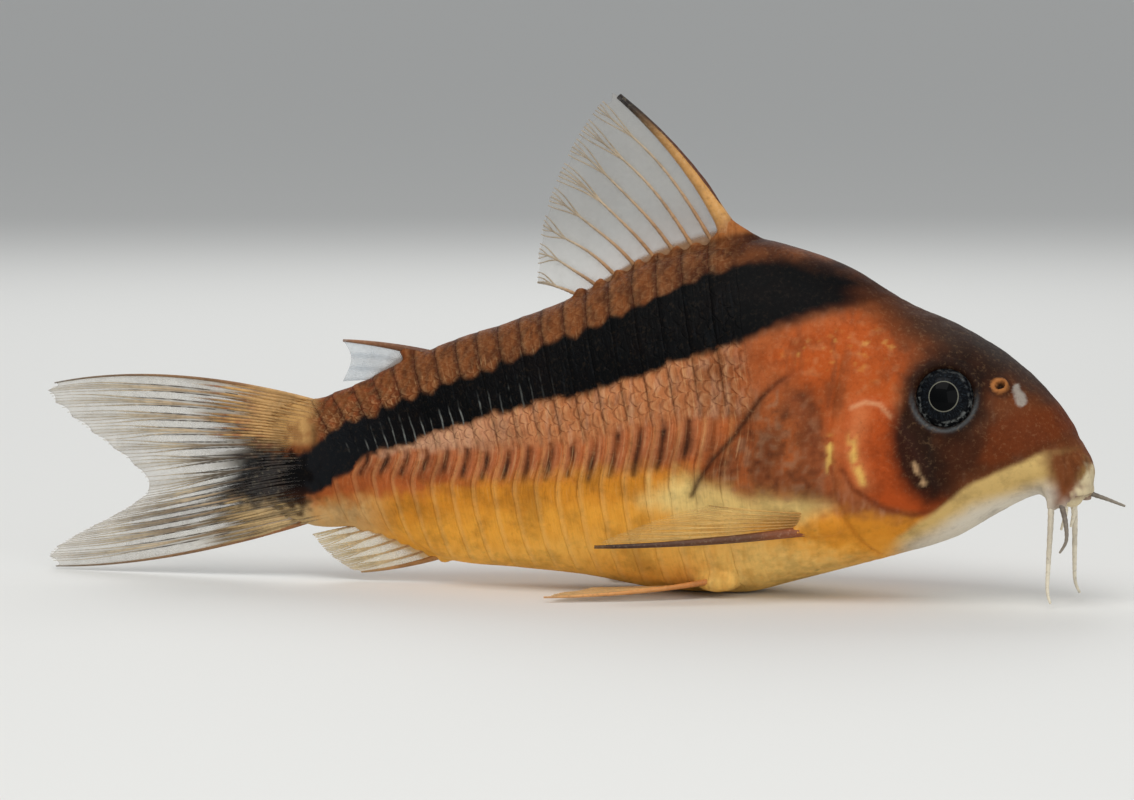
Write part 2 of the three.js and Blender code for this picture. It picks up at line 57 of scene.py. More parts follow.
# along, top, bottom, belt (the widest level), half width, fullness above and below the belt
stations = np.array([
    (-28.4, 9.3, 5.4, 7.35, 0.16, 2.0, 2.0),
    (-27.8, 10.2, 4.6, 7.35, 0.3, 2.0, 2.0),
    (-26.9, 10.85, 3.9, 7.4, 0.6, 2.0, 2.0),
    (-26.0, 11.2, 3.5, 7.45, 1.0, 2.0, 2.0),
    (-24.3, 11.5, 3.2, 7.6, 1.5, 2.0, 2.0),
    (-21.3, 12.75, 3.3, 8.0, 2.15, 1.95, 2.0),
    (-18.3, 14.2, 2.3, 8.25, 2.85, 1.9, 2.05),
    (-15.8, 15.25, 1.35, 8.5, 3.4, 1.85, 2.15),
    (-11.5, 16.7, 1.05, 8.85, 4.15, 1.8, 2.3),
    (-7.0, 18.5, 0.7, 9.3, 4.95, 1.75, 2.35),
    (-3.0, 20.4, 0.05, 10.4, 5.6, 1.72, 2.35),
    (0.5, 21.35, -0.2, 11.0, 6.0, 1.7, 2.3),
    (3.2, 21.9, -0.1, 11.1, 6.2, 1.7, 2.3),
    (6.2, 21.3, 0.7, 10.6, 6.25, 1.75, 2.3),
    (9.4, 20.15, 1.6, 9.9, 6.0, 1.85, 2.3),
    (12.8, 18.15, 2.6, 9.4, 5.6, 1.95, 2.25),
    (16.0, 16.8, 3.65, 9.4, 5.0, 2.05, 2.2),
    (18.8, 15.25, 5.3, 9.5, 4.2, 2.15, 2.1),
    (21.0, 13.5, 6.45, 9.4, 3.4, 2.15, 2.1),
    (22.7, 11.6, 6.7, 8.9, 2.6, 2.1, 2.1),
    (23.8, 9.75, 6.9, 8.3, 1.8, 2.0, 2.0),
    (24.6, 8.4, 7.2, 7.8, 0.8, 2.0, 2.0),
])
topColumn, bottomColumn, beltColumn, halfColumn, upColumn, lowColumn = range(1, 7)
eye = {"x": 16.35, "z": 12.5, "radius": 1.85, "deep": 1.33, "out": 0.5, "tilt": 0.22, "toe": 0.2,
       "pupil": 0.86, "ring": 0.05, "iris": 1.5}
mouth = {"x": 23.7, "z": 6.7, "half": 2.1}
dorsal = {"front": 2.1, "rear": -7.6}
anal = {"front": -16.4, "rear": -21.7}
sides = {"right": -1, "left": 1}


def smooth(low, high, value):
    t = np.clip((np.asarray(value, float) - low) / (high - low), 0, 1)
    return t * t * (3 - 2 * t)


def mix(a, b, t):
    return a + (b - a) * t


def bell(value, middle, width):
    return np.exp(-((value - middle) / width) ** 2)


def mirrored(point, side):
    return np.array(point, float) * (1, side, 1)


def along(column, v):
    knots, values = stations[:, 0], stations[:, column]
    last = len(knots) - 1
    before, after = np.maximum(np.arange(last + 1) - 1, 0), np.minimum(np.arange(last + 1) + 1, last)
    slopes = (values[after] - values[before]) / (knots[after] - knots[before])
    v = np.clip(v, knots[0], knots[-1])
    i = np.clip(np.searchsorted(knots, v) - 1, 0, last - 1)
    span = knots[i + 1] - knots[i]
    t = (v - knots[i]) / span
    rise = t * t * (3 - 2 * t)
    return (values[i] * (1 - rise) + values[i + 1] * rise
            + span * slopes[i] * t * (1 - t) ** 2 - span * slopes[i + 1] * t * t * (1 - t))


def bodyPoint(v, angle):
    c, s = np.cos(angle), np.sin(angle)
    power = 2 / np.where(s >= 0, along(upColumn, v), along(lowColumn, v))
    belt = along(beltColumn, v)
    height = np.where(s >= 0, along(topColumn, v) - belt, belt - along(bottomColumn, v))
    y = along(halfColumn, v) * np.sign(c) * np.abs(c) ** power
    return np.stack([v + 0 * y, y, belt + height * np.sign(s) * np.abs(s) ** power], -1)


def girthOf(x, y, z):
    # -1 under the belly, 0 at the belt and 1 along the back
    belt = along(beltColumn, x)
    above = z >= belt
    height = np.where(above, along(topColumn, x) - belt, belt - along(bottomColumn, x))
    half = np.where(above, along(upColumn, x), along(lowColumn, x)) / 2
    up = np.clip(np.abs(z - belt) / height, 0, 1.2) ** half
    out = np.clip(np.abs(y) / along(halfColumn, x), 0, 1.2) ** half
    return np.where(above, 1, -1) * np.arctan2(up, out + 1e-9) * 2 / math.pi


def flankAt(x, z):
    belt = along(beltColumn, x)
    above = z >= belt
    edge = float(along(topColumn if above else bottomColumn, x))
    share = min(abs(z - belt) / abs(edge - belt), 1)
    fullness = float(along(upColumn if above else lowColumn, x))
    return float(along(halfColumn, x)) * (1 - share ** fullness) ** (1 / fullness)


def bend(points):
    points = np.asarray(points, float)
    x = points[..., 0]
    ahead = np.maximum(x - body["headTurnFrom"], 0)
    behind = np.minimum(x - body["tailTurnFrom"], 0)
    side = -body["headTurn"] * ahead ** 2 + body["tailTurn"] * behind ** 2
    slope = -2 * body["headTurn"] * ahead + 2 * body["tailTurn"] * behind
    length = np.hypot(1, slope)
    across = points[..., 1] / length
    return np.stack([x - across * slope, side + across, points[..., 2]], -1) * mm


def plateSweep(girth):
    s = np.sin(girth * math.pi / 2)
    upper = -2.3 * np.maximum(s, 0) ** 1.3
    lower = -0.5 * body["platePitch"] + 1.1 * np.maximum(-s, 0) ** 1.6
    return np.where(s >= 0, upper, lower * smooth(0.0, 0.3, -s))


plateStarts = [body["firstPlate"]]
for number in range(body["plates"]):
    pitch = body["platePitch"] + body["platePitchExtra"] * math.exp(-number / 4)
    plateStarts.append(plateStarts[-1] - pitch)
plateStarts = np.array(plateStarts)


def platePlace(x, girth):
    # counts the plates from the shoulder backwards
    v = x - plateSweep(girth)
    behind = np.interp(-v, -plateStarts, np.arange(len(plateStarts)))
    return np.where(v > plateStarts[0], (plateStarts[0] - v) / body["platePitch"], behind)


def gillPlace(x, girth):
    s = np.sin(girth * math.pi / 2)
    return x - (0.9 * s * s + np.where(s < 0, 1.9 * s * s, 0.4 * s)) - body["gillLine"]


def insideOf(outline, x, z):
    # distance to the outline in the side view, more than 0 inside
    nearest = np.full(np.shape(x), 1e9)
    inside = np.zeros(np.shape(x), bool)
    for (ax, az), (bx, bz) in zip(outline, outline[1:] + outline[:1]):
        dx, dz = bx - ax, bz - az
        t = np.clip(((x - ax) * dx + (z - az) * dz) / (dx * dx + dz * dz), 0, 1)
        nearest = np.minimum(nearest, np.hypot(x - ax - t * dx, z - az - t * dz))
        crosses = (az > z) != (bz > z)
        edge = ax + (z - az) * dx / (dz if dz else 1e-9)
        inside ^= crosses & (x < edge)
    return np.where(inside, nearest, -nearest)


def lineDistance(line, x, z):
    nearest = np.full(np.shape(x), 1e9)
    for (ax, az), (bx, bz) in zip(line, line[1:]):
        dx, dz = bx - ax, bz - az
        t = np.clip(((x - ax) * dx + (z - az) * dz) / (dx * dx + dz * dz), 0, 1)
        nearest = np.minimum(nearest, np.hypot(x - ax - t * dx, z - az - t * dz))
    return nearest


def cloud(points, size, seed):
    shift = Vector((seed * 7.3, seed * 3.1, seed * 5.7))
    return np.array([noise.noise(Vector(p) / size + shift) for p in points])


# Nodes and materials
class Wire:
    # a value in a node tree, so that what is worked out from it can be written as a formula
    def __init__(self, tree, socket):
        self.tree, self.socket = tree, socket

    def calc(self, operation, other=0.0):
        return wireFrom(self.tree, "ShaderNodeMath", {0: self, 1: other}, operation=operation)

    def __add__(self, other):
        return self.calc("ADD", other)

    def __mul__(self, other):
        return self.calc("MULTIPLY", other)

    def __sub__(self, other):
        return self.calc("SUBTRACT", other)

    def __rsub__(self, other):
        return wireFrom(self.tree, "ShaderNodeMath", {0: other, 1: self}, operation="SUBTRACT")

    def ramp(self, low, high):
        return wireFrom(self.tree, "ShaderNodeMapRange", {"Value": self, "From Min": low, "From Max": high},
                        interpolation_type="SMOOTHSTEP")


def feed(made, inputs):
    for name, value in inputs.items():
        if isinstance(value, Wire):
            value.tree.links.new(value.socket, made.inputs[name])
        else:
            made.inputs[name].default_value = value


def addNode(tree, kind, inputs=None, **settings):
    made = tree.nodes.new(kind)
    for name, value in settings.items():
        setattr(made, name, value)
    feed(made, inputs or {})
    return made


def wireFrom(tree, kind, inputs=None, output=0, **settings):
    return Wire(tree, addNode(tree, kind, inputs, **settings).outputs[output])


def attribute(tree, name, output="Fac"):
    return wireFrom(tree, "ShaderNodeAttribute", output=output, attribute_name=name)


def objectPlace(tree):
    return wireFrom(tree, "ShaderNodeTexCoord", output="Object")


def noiseAt(where, scale, detail, roughness=0.5):
    return wireFrom(where.tree, "ShaderNodeTexNoise",
                    {"Vector": where, "Scale": scale, "Detail": detail, "Roughness": roughness})


def mixColors(amount, a, b):
    return wireFrom(amount.tree, "ShaderNodeMix", {0: amount, 6: a, 7: b}, output=2, data_type="RGBA")


def bumpOf(height, strength, distance):
    return wireFrom(height.tree, "ShaderNodeBump",
                    {"Height": height, "Strength": strength, "Distance": distance})


def paint(red, green, blue):
    # a colour as seen on a screen, 0 to 255, made linear
    shares = (red / 255, green / 255, blue / 255)
    return (*[c / 12.92 if c <= 0.04045 else ((c + 0.055) / 1.055) ** 2.4 for c in shares], 1.0)


def newMaterial(name, **values):
    made = bpy.data.materials.new(name)
    made.use_nodes = True
    shader = made.node_tree.nodes["Principled BSDF"]
    feed(shader, {socket.replace("_", " "): value for socket, value in values.items()})
    return made, made.node_tree, shader


def newTree(name, kind, inputs, outputs):
    tree = bpy.data.node_groups.new(name, kind)
    names = {}
    for label, socketKind, value in inputs:
        socket = tree.interface.new_socket(label, in_out="INPUT", socket_type="NodeSocket" + socketKind)
        names[label] = socket.identifier
        if value is not None:
            socket.default_value = value
    for label, socketKind in outputs:
        tree.interface.new_socket(label, in_out="OUTPUT", socket_type="NodeSocket" + socketKind)
    inlet = tree.nodes.new("NodeGroupInput")
    given = {label: Wire(tree, inlet.outputs[label]) for label in names}
    return tree, names, given, tree.nodes.new("NodeGroupOutput")


def makeMottle():
    # cloudy patches and fine dark and pale grains over any base colour, with the grain's height
    tree, _, given, outlet = newTree("mottle", "ShaderNodeTree", [
        ("Base", "Color", (0.5, 0.5, 0.5, 1)), ("Dark", "Color", (0, 0, 0, 1)),
        ("Pale", "Color", (1, 1, 1, 1)), ("Scale", "Float", 1500.0), ("Patches", "Float", 0.3),
        ("Grains", "Float", 0.4)], [("Color", "Color"), ("Height", "Float")])
    coarse = noiseAt(objectPlace(tree), given["Scale"] * 0.3, 4.0, 0.65)
    fine = noiseAt(objectPlace(tree), given["Scale"] * 2.6, 3.0, 0.7)
    color = mixColors(coarse.ramp(0.42, 0.68) * given["Patches"], given["Base"], given["Dark"])
    color = mixColors(fine.ramp(0.52, 0.7) * given["Grains"], color, given["Dark"])
    color = mixColors(fine.ramp(0.48, 0.3) * given["Grains"] * 0.35, color, given["Pale"])
    feed(outlet, {"Color": color, "Height": fine})
    return tree


mottle = makeMottle()


def mottled(tree, base, dark, pale, scale, patches, grains):
    made = addNode(tree, "ShaderNodeGroup", node_tree=mottle)
    feed(made, {"Base": base, "Dark": paint(*dark), "Pale": paint(*pale), "Scale": scale,
                "Patches": patches, "Grains": grains})
    return Wire(tree, made.outputs["Color"]), Wire(tree, made.outputs["Height"])


skinLook = {
    "wander": 0.16,        # how far the seams stray, in plates
    "scaleLines": 17.0,    # lines of small scales from the belt to the back
    "scaleArc": 0.42,
    "scaleEdge": 0.34,
    "scaleMiddle": 0.14,
    "streakDark": (70, 34, 16),
    "streakPale": (236, 196, 140),
    "scaleShade": (84, 42, 24),
    "scaleGleam": (232, 184, 132),
    # the next tone is a painted highlight where each plate stands highest, before its seam
    "edgeHighlight": (236, 202, 150),
    "seam": (84, 42, 22),
    "bandGleam": (26, 30, 34),
    "whisker": (108, 110, 106),
    "bump": 0.75,
    "bumpHeight": 0.00007,
    "smoothest": 0.42,
    "roughest": 0.58,
}


def makeSkinMaterial():
    made, tree, shader = newMaterial("wetSkin", Specular_IOR_Level=0.05)
    base = attribute(tree, "skinColor", "Color")
    plate, cover, girth = attribute(tree, "plate"), attribute(tree, "plateCover"), attribute(tree, "girth")
    black, whiskers = attribute(tree, "bandCover"), attribute(tree, "whiskerCover")
    wander = noiseAt(objectPlace(tree), 900.0, 2.0)
    shifted = plate + (wander - 0.5) * skinLook["wander"]
    share = shifted.calc("FRACT")
    # the seams fade at the belt, where the two rows meet
    opened = girth.calc("ABSOLUTE").ramp(0.02, 0.16) * 0.65 + 0.35
    # small scales lie over the upper row and the back, in staggered lines of arcs that point backwards
    line = girth * skinLook["scaleLines"] + wander * 1.6
    stagger = (line.calc("FLOOR") * 0.5).calc("FRACT")
    arc = line.calc("FRACT") * 2.0 - 1.0
    scales = (shifted * 2.0 + arc * arc * skinLook["scaleArc"] + stagger).calc("FRACT")
    scaly = girth.ramp(0.02, 0.1) * cover * (1.0 - girth.ramp(0.4, 0.56) * 0.62)
    scaleEdge = (scales.ramp(0.82, 0.98) + scales.ramp(0.12, 0.0)) * scaly
    scaleMiddle = scales.ramp(0.35, 0.75) * scales.ramp(0.9, 0.75) * scaly
    # a dark seam where one plate slides under the next, and a pale painted highlight before it, where the
    # plate stands highest
    seam = share.ramp(0.1, 0.0).calc("MAXIMUM", share.ramp(0.965, 1.0)) * cover * opened
    edge = share.ramp(0.62, 0.86) * share.ramp(1.0, 0.9) * cover * opened
    # fine striations that run up and down each plate
    streaks = wireFrom(tree, "ShaderNodeCombineXYZ", {"X": plate * 9.0, "Y": girth * 7.0})
    streak = noiseAt(streaks, 1.0, 3.0, 0.6)
    streakPale = streak.ramp(0.46, 0.32) * cover
    above = girth.ramp(-0.32, -0.02)
    flank = above * girth.ramp(0.62, 0.5)
    color = base
    # the pale edge tone laid below is a painted highlight
    for amount, tone in ((streak.ramp(0.5, 0.66) * cover * (above * 0.24 + 0.06), "streakDark"),
                         (streakPale * (flank * 0.16 + 0.04), "streakPale"),
                         (scaleEdge * skinLook["scaleEdge"], "scaleShade"),
                         (scaleMiddle * skinLook["scaleMiddle"], "scaleGleam"),
                         (edge * (0.07 - above * 0.04), "edgeHighlight"), (seam * (above * 0.42 + 0.04), "seam")):
        color = mixColors(amount, color, paint(*skinLook[tone]))
    # over the band the plates only gleam
    color = mixColors(black, color, mixColors(streakPale * 0.25, base, paint(*skinLook["bandGleam"])))
    thin = (shifted * 2.0).calc("FRACT")
    thin = thin.ramp(0.7, 0.8) * thin.ramp(0.94, 0.84) * wander.ramp(0.34, 0.6) * girth.ramp(0.03, 0.09)
    color = mixColors(thin * whiskers, color, paint(*skinLook["whisker"]))
    grains = above * (cover * 0.06 + 0.1) + 0.07
    mottledColor, height = mottled(tree, color, (48, 24, 14), (226, 180, 130), 1500.0, 0.3, grains)
    relief = height * 0.35 + streak * cover * 0.8 - seam * 0.7 - scaleEdge * 0.6
    rough = wireFrom(tree, "ShaderNodeMapRange", {
        "Value": height, "From Min": 0.25, "From Max": 0.75,
        "To Min": skinLook["smoothest"], "To Max": skinLook["roughest"]})
    feed(shader, {"Base Color": mixColors(black * 0.85, mottledColor, color), "Roughness": rough,
                  "Normal": bumpOf(relief, skinLook["bump"], skinLook["bumpHeight"])})
    return made


finBump = {"strength": 0.4, "height": 0.00003}


def makeMembraneMaterial():
    made, tree, shader = newMaterial("finMembrane", Roughness=0.4, IOR=1.36)
    grain = noiseAt(objectPlace(tree), 1600.0, 3.0, 0.6)
    tint = attribute(tree, "finColor", "Color")
    color, height = mottled(tree, tint, (90, 74, 60), (246, 240, 226), 1300.0, 0.2, 0.15)
    feed(shader, {"Base Color": color, "Alpha": attribute(tree, "finAlpha") * (grain * 0.8 + 0.6),
                  "Normal": bumpOf(height, finBump["strength"], finBump["height"])})
    return made


def makeRayMaterial(name, grains):
    made, tree, shader = newMaterial(name, Roughness=0.45, Specular_IOR_Level=0.35)
    tint = attribute(tree, "finColor", "Color")
    color, height = mottled(tree, tint, (70, 44, 26), (244, 226, 190), 1800.0, 0.3, grains)
    feed(shader, {"Base Color": color, "Alpha": attribute(tree, "finAlpha"),
                  "Normal": bumpOf(height, finBump["strength"], finBump["height"])})
    return made


skinMaterial = makeSkinMaterial()
membraneMaterial = makeMembraneMaterial()
rayMaterial = makeRayMaterial("finRay", 0.3)
barbelMaterial = makeRayMaterial("barbelSkin", 0.25)
print("materials made")


# Mesh helpers
def meshFrom(name, points, faces):
    made = bpy.data.meshes.new(name)
    made.from_pydata([tuple(p) for p in points], [], faces)
    made.update()
    return made


def objectFrom(name, mesh):
    made = bpy.data.objects.new(name, mesh)
    scene.collection.objects.link(made)
    return made


def setFloat(mesh, name, values):
    data = mesh.attributes.new(name, "FLOAT", "POINT").data
    data.foreach_set("value", np.asarray(values, np.float32).ravel())


def setColor(mesh, name, values):
    values = np.asarray(values, np.float32)
    if values.shape[1] == 3:
        values = np.hstack([values, np.ones((len(values), 1), np.float32)])
    mesh.attributes.new(name, "FLOAT_COLOR", "POINT").data.foreach_set("color", values.ravel())


def getPoints(mesh):
    out = np.empty(len(mesh.vertices) * 3, np.float32)
    mesh.vertices.foreach_get("co", out)
    return out.reshape(-1, 3).astype(float)


def setPoints(mesh, points):
    mesh.vertices.foreach_set("co", np.asarray(points, np.float32).ravel())
    mesh.update()


def shadeSmooth(mesh):
    mesh.polygons.foreach_set("use_smooth", np.ones(len(mesh.polygons), bool))


def closedRings(rings, around, flipped=False):
    # the walls between rings of points, and the fans to the two poles that follow them in the list of points
    faces = []
    for i in range(rings - 1):
        for j in range(around):
            k = (j + 1) % around
            faces.append((i * around + j, i * around + k, (i + 1) * around + k, (i + 1) * around + j))
    low, high, last = rings * around, rings * around + 1, (rings - 1) * around
    for j in range(around):
        k = (j + 1) % around
        faces += [(low, k, j), (high, last + j, last + k)]
    return [tuple(reversed(face)) for face in faces] if flipped else faces


def turned(angles):
    cx, cy, cz = map(math.cos, angles)
    sx, sy, sz = map(math.sin, angles)
    aroundX = np.array([(1, 0, 0), (0, cx, -sx), (0, sx, cx)])
    aroundY = np.array([(cy, 0, sy), (0, 1, 0), (-sy, 0, cy)])
    aroundZ = np.array([(cz, -sz, 0), (sz, cz, 0), (0, 0, 1)])
    return aroundX @ aroundY @ aroundZ


class Shape:
    # points and faces gathered before they become one mesh
    def __init__(self):
        self.points, self.faces = [], []

    def add(self, points, faces):
        start = len(self.points)
        self.points.extend(map(tuple, points))
        self.faces.extend(tuple(start + i for i in face) for face in faces)

    def lump(self, place, size, turn=(0, 0, 0), detail=16):
        rings, around = detail, detail * 2
        lat = np.linspace(-math.pi / 2, math.pi / 2, rings + 2)[1:-1]
        lon = np.linspace(0, 2 * math.pi, around, endpoint=False)
        ball = [(math.cos(a) * math.cos(b), math.cos(a) * math.sin(b), math.sin(a)) for a in lat for b in lon]
        ball = np.array(ball + [(0, 0, -1), (0, 0, 1)])
        self.add((ball * np.array(size)) @ turned(turn).T + np.array(place), closedRings(rings, around))

    def tube(self, path, radii, around=16, steps=30):
        path = np.asarray(path, float)
        t = np.linspace(0, len(path) - 1, steps)
        line = catmull(path, t)
        radii = np.interp(t, np.arange(len(path)), radii)
        rings = []
        lastSide = np.array((0.0, 0.0, 1.0))
        for i, centre in enumerate(line):
            ahead = line[min(i + 1, steps - 1)] - line[max(i - 1, 0)]
            ahead /= np.linalg.norm(ahead)
            side = lastSide - ahead * lastSide.dot(ahead)
            side /= np.linalg.norm(side)
            lastSide = side
            other = np.cross(ahead, side)
            for a in np.linspace(0, 2 * math.pi, around, endpoint=False):
                rings.append(centre + radii[i] * (math.cos(a) * side + math.sin(a) * other))
        self.add(rings + [line[0], line[-1]], closedRings(steps, around, True))


def catmull(path, t):
    last = len(path) - 1
    i = np.clip(np.floor(t).astype(int), 0, last - 1)
    f = (t - i)[:, None]
    a, b = path[np.maximum(i - 1, 0)], path[i]
    c, d = path[i + 1], path[np.minimum(i + 2, last)]
    return 0.5 * (2 * b + (c - a) * f + (2 * a - 5 * b + 4 * c - d) * f ** 2
                  + (3 * b - a - 3 * c + d) * f ** 3)


def topAt(x):
    return float(along(topColumn, x))


def bottomAt(x):
    return float(along(bottomColumn, x))


def bezier(root, control, end, t):
    t = np.asarray(t, float)[..., None]
    return (1 - t) ** 2 * np.array(root) + 2 * t * (1 - t) * np.array(control) + t * t * np.array(end)


def pectoralRay(t, side):
    z, x = 4.5 + 0.8 * t, 8.4 - 0.3 * t
    root = (x + 0.9, side * (flankAt(x, z) - 0.75), z)
    end = (-4.6 + 6.4 * t ** 1.3, side * mix(10.3, 7, t ** 0.9), mix(3.7, 6, t))
    control = ((x + end[0]) / 2, (root[1] + end[1]) / 2 + side * 1.2, (z + end[2]) / 2 - 0.35 * (1 - t))
    return root, control, end


# The one skin over head, trunk and tail
def eyeFrame(side):
    depth = flankAt(eye["x"], eye["z"]) + eye["out"] - eye["deep"]
    place = np.array((eye["x"], side * depth, eye["z"]))
    return place, turned((side * eye["tilt"], 0, side * -eye["toe"]))


def eyeDistance(points, side):
    # distance from the eye's axis, on that side of the head only
    place, turn = eyeFrame(side)
    local = (points - place) @ turn
    far = np.hypot(local[:, 0], local[:, 2])
    return np.where(points[:, 1] * side > 0, far, 99.0)


nostril = {
    "place": (19.6, 2.72, 13.25),     # on the left, the right one is its mirror image
    "outward": (0.25, 0.75, 0.6),
    "across": (0.95, 0, 0.3),
    "up": (-0.2, -0.62, 0.76),
    "ring": 0.42,
    "wall": 0.19,
    "raised": 0.12,
    "flap": [(20.95, 12.4), (20.7, 12.8), (20.45, 13.3)],
}
shoulderPatch = [(7.3, 14.3), (8.8, 13.3), (9.5, 10.9), (9.3, 6.8), (6.8, 6.4), (4.3, 6.7), (1.0, 7.4),
                 (2.3, 8.9), (3.7, 10.8), (4.8, 12.5)]
shoulderLine = [(7.3, 14.3), (5.9, 13.4), (4.9, 12.5), (4.1, 11.4), (3.2, 10.1), (1.9, 8.7), (1.0, 7.4),
                (0.5, 6.4)]
gillCover = [(10.6, 12.3), (10.15, 10.0), (10.3, 8.2), (11.0, 7.0), (12.7, 5.9), (15.3, 5.4), (16.9, 6.3),
             (15.6, 8.4), (14.4, 10.4), (13.5, 12.0), (12.2, 12.7)]


flesh = {
    "snout": (1.6, 2.4, 1.9),           # half sizes of rounded lumps: length, width, height
    "lowerLip": (1.0, 1.5, 0.36),
    "mouthCorner": (0.75, 0.5, 0.85),
    "pectoralRoot": (1.7, 0.9, 0.9),
    "pelvicRoot": (1.5, 1.5, 0.7),
    "dorsalFoot": (0.42, 0.42, 0.5),
    "spineFoot": (1.0, 0.75, 0.55),
    "analFoot": (0.5, 0.4, 0.5),
    "adiposeFoot": (1.2, 0.5, 0.5),
    "pectoralAt": (8.9, 4.9),           # along and height
    "pelvicAt": (1.7, 3.0, 0.9),
    "spineAt": 1.9,
    "adiposeAt": -18.2,
    "upperLip": [0.5, 0.5, 0.48, 0.5, 0.5],
    "barbelRoot": [0.5, 0.42, 0.3],
    "lowBarbelRoot": [0.5, 0.36, 0.26],
    "spineFold": [0.5, 0.72, 0.4],
    "sleeves": ((0, 0.52), (0.3, 0.44), (0.6, 0.4), (0.95, 0.36)),   # ray and radius
}
skinRings = {"along": 170, "around": 120}


def skinShape():
    shape = Shape()
    rings, around = skinRings["along"], skinRings["around"]
    v = np.linspace(stations[0, 0], stations[-1, 0], rings)
    angle = np.linspace(0, 2 * math.pi, around, endpoint=False)
    grid = bodyPoint(v[:, None] + 0 * angle, angle + 0 * v[:, None]).reshape(-1, 3)
    ends = [grid[:around].mean(0), grid[-around:].mean(0)]
    shape.add(list(grid) + ends, closedRings(rings, around, True))
    # lips, with the roots of the barbels at the corners of the mouth
    x, z, half = mouth["x"], mouth["z"], mouth["half"]
    shape.lump((x - 0.8, 0, z + 1.2), flesh["snout"], (0, 0.35, 0))
    shape.tube([(x - 1.1, -half, z + 0.2), (x - 0.1, -1.75, z + 0.05), (x + 0.45, 0, z + 0.25),
                (x - 0.1, 1.75, z + 0.05), (x - 1.1, half, z + 0.2)], flesh["upperLip"])
    shape.lump((x - 0.75, 0, z - 0.42), flesh["lowerLip"], (0, 0.22, 0))
    for side in sides.values():
        shape.lump((x - 0.75, side * (half - 0.05), z + 0.25), flesh["mouthCorner"])
        shape.tube([(x - 0.7, side * (half - 0.3), z + 0.5), (x - 0.85, side * half, z - 0.2),
                    (x - 0.92, side * 2.3, z - 0.9)], flesh["barbelRoot"], steps=12)
        shape.tube([(x - 0.5, side * (half - 0.2), z + 0.6), (x - 0.3, side * 2.3, z - 0.1),
                    (x - 0.05, side * 2.5, z - 0.7)], flesh["lowBarbelRoot"], steps=12)
        # the rim of the rear nostril and the flap of skin before it
        place, outward, across, up = (mirrored(nostril[key], side)
                                      for key in ("place", "outward", "across", "up"))
        middle = place + outward * nostril["raised"]
        ring = [middle + nostril["ring"] * (math.cos(a) * across + math.sin(a) * up)
                for a in np.linspace(0, 2 * math.pi, 13)]
        shape.tube(ring, [nostril["wall"]] * 13, around=8, steps=36)
        flap = np.array([(a, side * (flankAt(a, b) + 0.05), b) for a, b in nostril["flap"]])
        shape.tube(flap, [0.24, 0.2, 0.08], around=12, steps=10)
        # the fleshy roots of the paired fins
        a, b = flesh["pectoralAt"]
        shape.lump((a, side * (flankAt(a, b) - 0.35), b), flesh["pectoralRoot"], (0, -0.05, side * -0.25))
        for share, thick in flesh["sleeves"]:
            sleeve = bezier(*pectoralRay(share, side), np.linspace(0, 0.17 - 0.05 * share, 4))
            widths = [thick, thick, mix(thick, 0.2, 0.5), 0.2 if share else 0.3]
            shape.tube(sleeve, widths, around=12, steps=12)
        shape.lump(mirrored(flesh["pelvicAt"], side), flesh["pelvicRoot"])
    # the feet of the fins in the middle, with the fold of skin around the dorsal spine
    for x in np.linspace(dorsal["front"], dorsal["rear"], 9):
        shape.lump((x, 0, topAt(x) + 0.02), flesh["dorsalFoot"], (0, 0.5, 0), 8)
    shape.tube([(3.6, 0, topAt(3.6) - 0.4), (2.4, 0, topAt(2.4) + 0.1), (1.5, 0, topAt(1.5) + 1.3)],
               flesh["spineFold"], steps=14)
    shape.lump((flesh["spineAt"], 0, topAt(flesh["spineAt"]) + 0.1), flesh["spineFoot"], (0, 0.25, 0))
    for x in np.linspace(anal["front"], anal["rear"], 7):
        shape.lump((x, 0, bottomAt(x) + 0.1), flesh["analFoot"], detail=8)
    x = flesh["adiposeAt"]
    shape.lump((x, 0, topAt(x) - 0.1), flesh["adiposeFoot"], (0, 0.4, 0), 8)
    return shape


def relaxed(points, edges, times, strength=0.5):
    count = np.bincount(edges.ravel(), minlength=len(points))[:, None]
    for _ in range(times):
        total = np.zeros_like(points)
        for axis in range(3):
            total[:, axis] = (np.bincount(edges[:, 0], points[edges[:, 1], axis], len(points))
                              + np.bincount(edges[:, 1], points[edges[:, 0], axis], len(points)))
        points = mix(points, total / count, strength)
    return points


def nostrilDistance(points, side):
    # distance from the axis of the rear nostril, near it only
    away = points - mirrored(nostril["place"], side)
    outward = mirrored(nostril["outward"], side)
    deep = away @ outward
    return np.where(np.abs(deep) < 1.2, np.linalg.norm(away - deep[:, None] * outward, axis=1), 99.0)


relief = {
    "plateLow": 0.1,      # share of the rise at a plate's front edge
    "beltSeam": 0.03,
    "uneven": 0.05,
    "gillSlit": 0.12,
    "gillBehind": 0.1,    # the raised edge behind the gill opening
    "gillCover": 0.16,
    "shoulder": 0.06,
    "shoulderLine": 0.1,
    "headGrain": 0.035,
    "eyeRim": 0.16,
    "eyeSocket": 0.55,
    "nostril": 0.4,
    "lipLine": 0.12,
    "mouthSlit": 0.3,
    "lipLinePath": [(23.3, 9.9), (22.4, 9.5), (21.2, 8.95), (19.4, 8.15), (18.2, 7.7)],
}


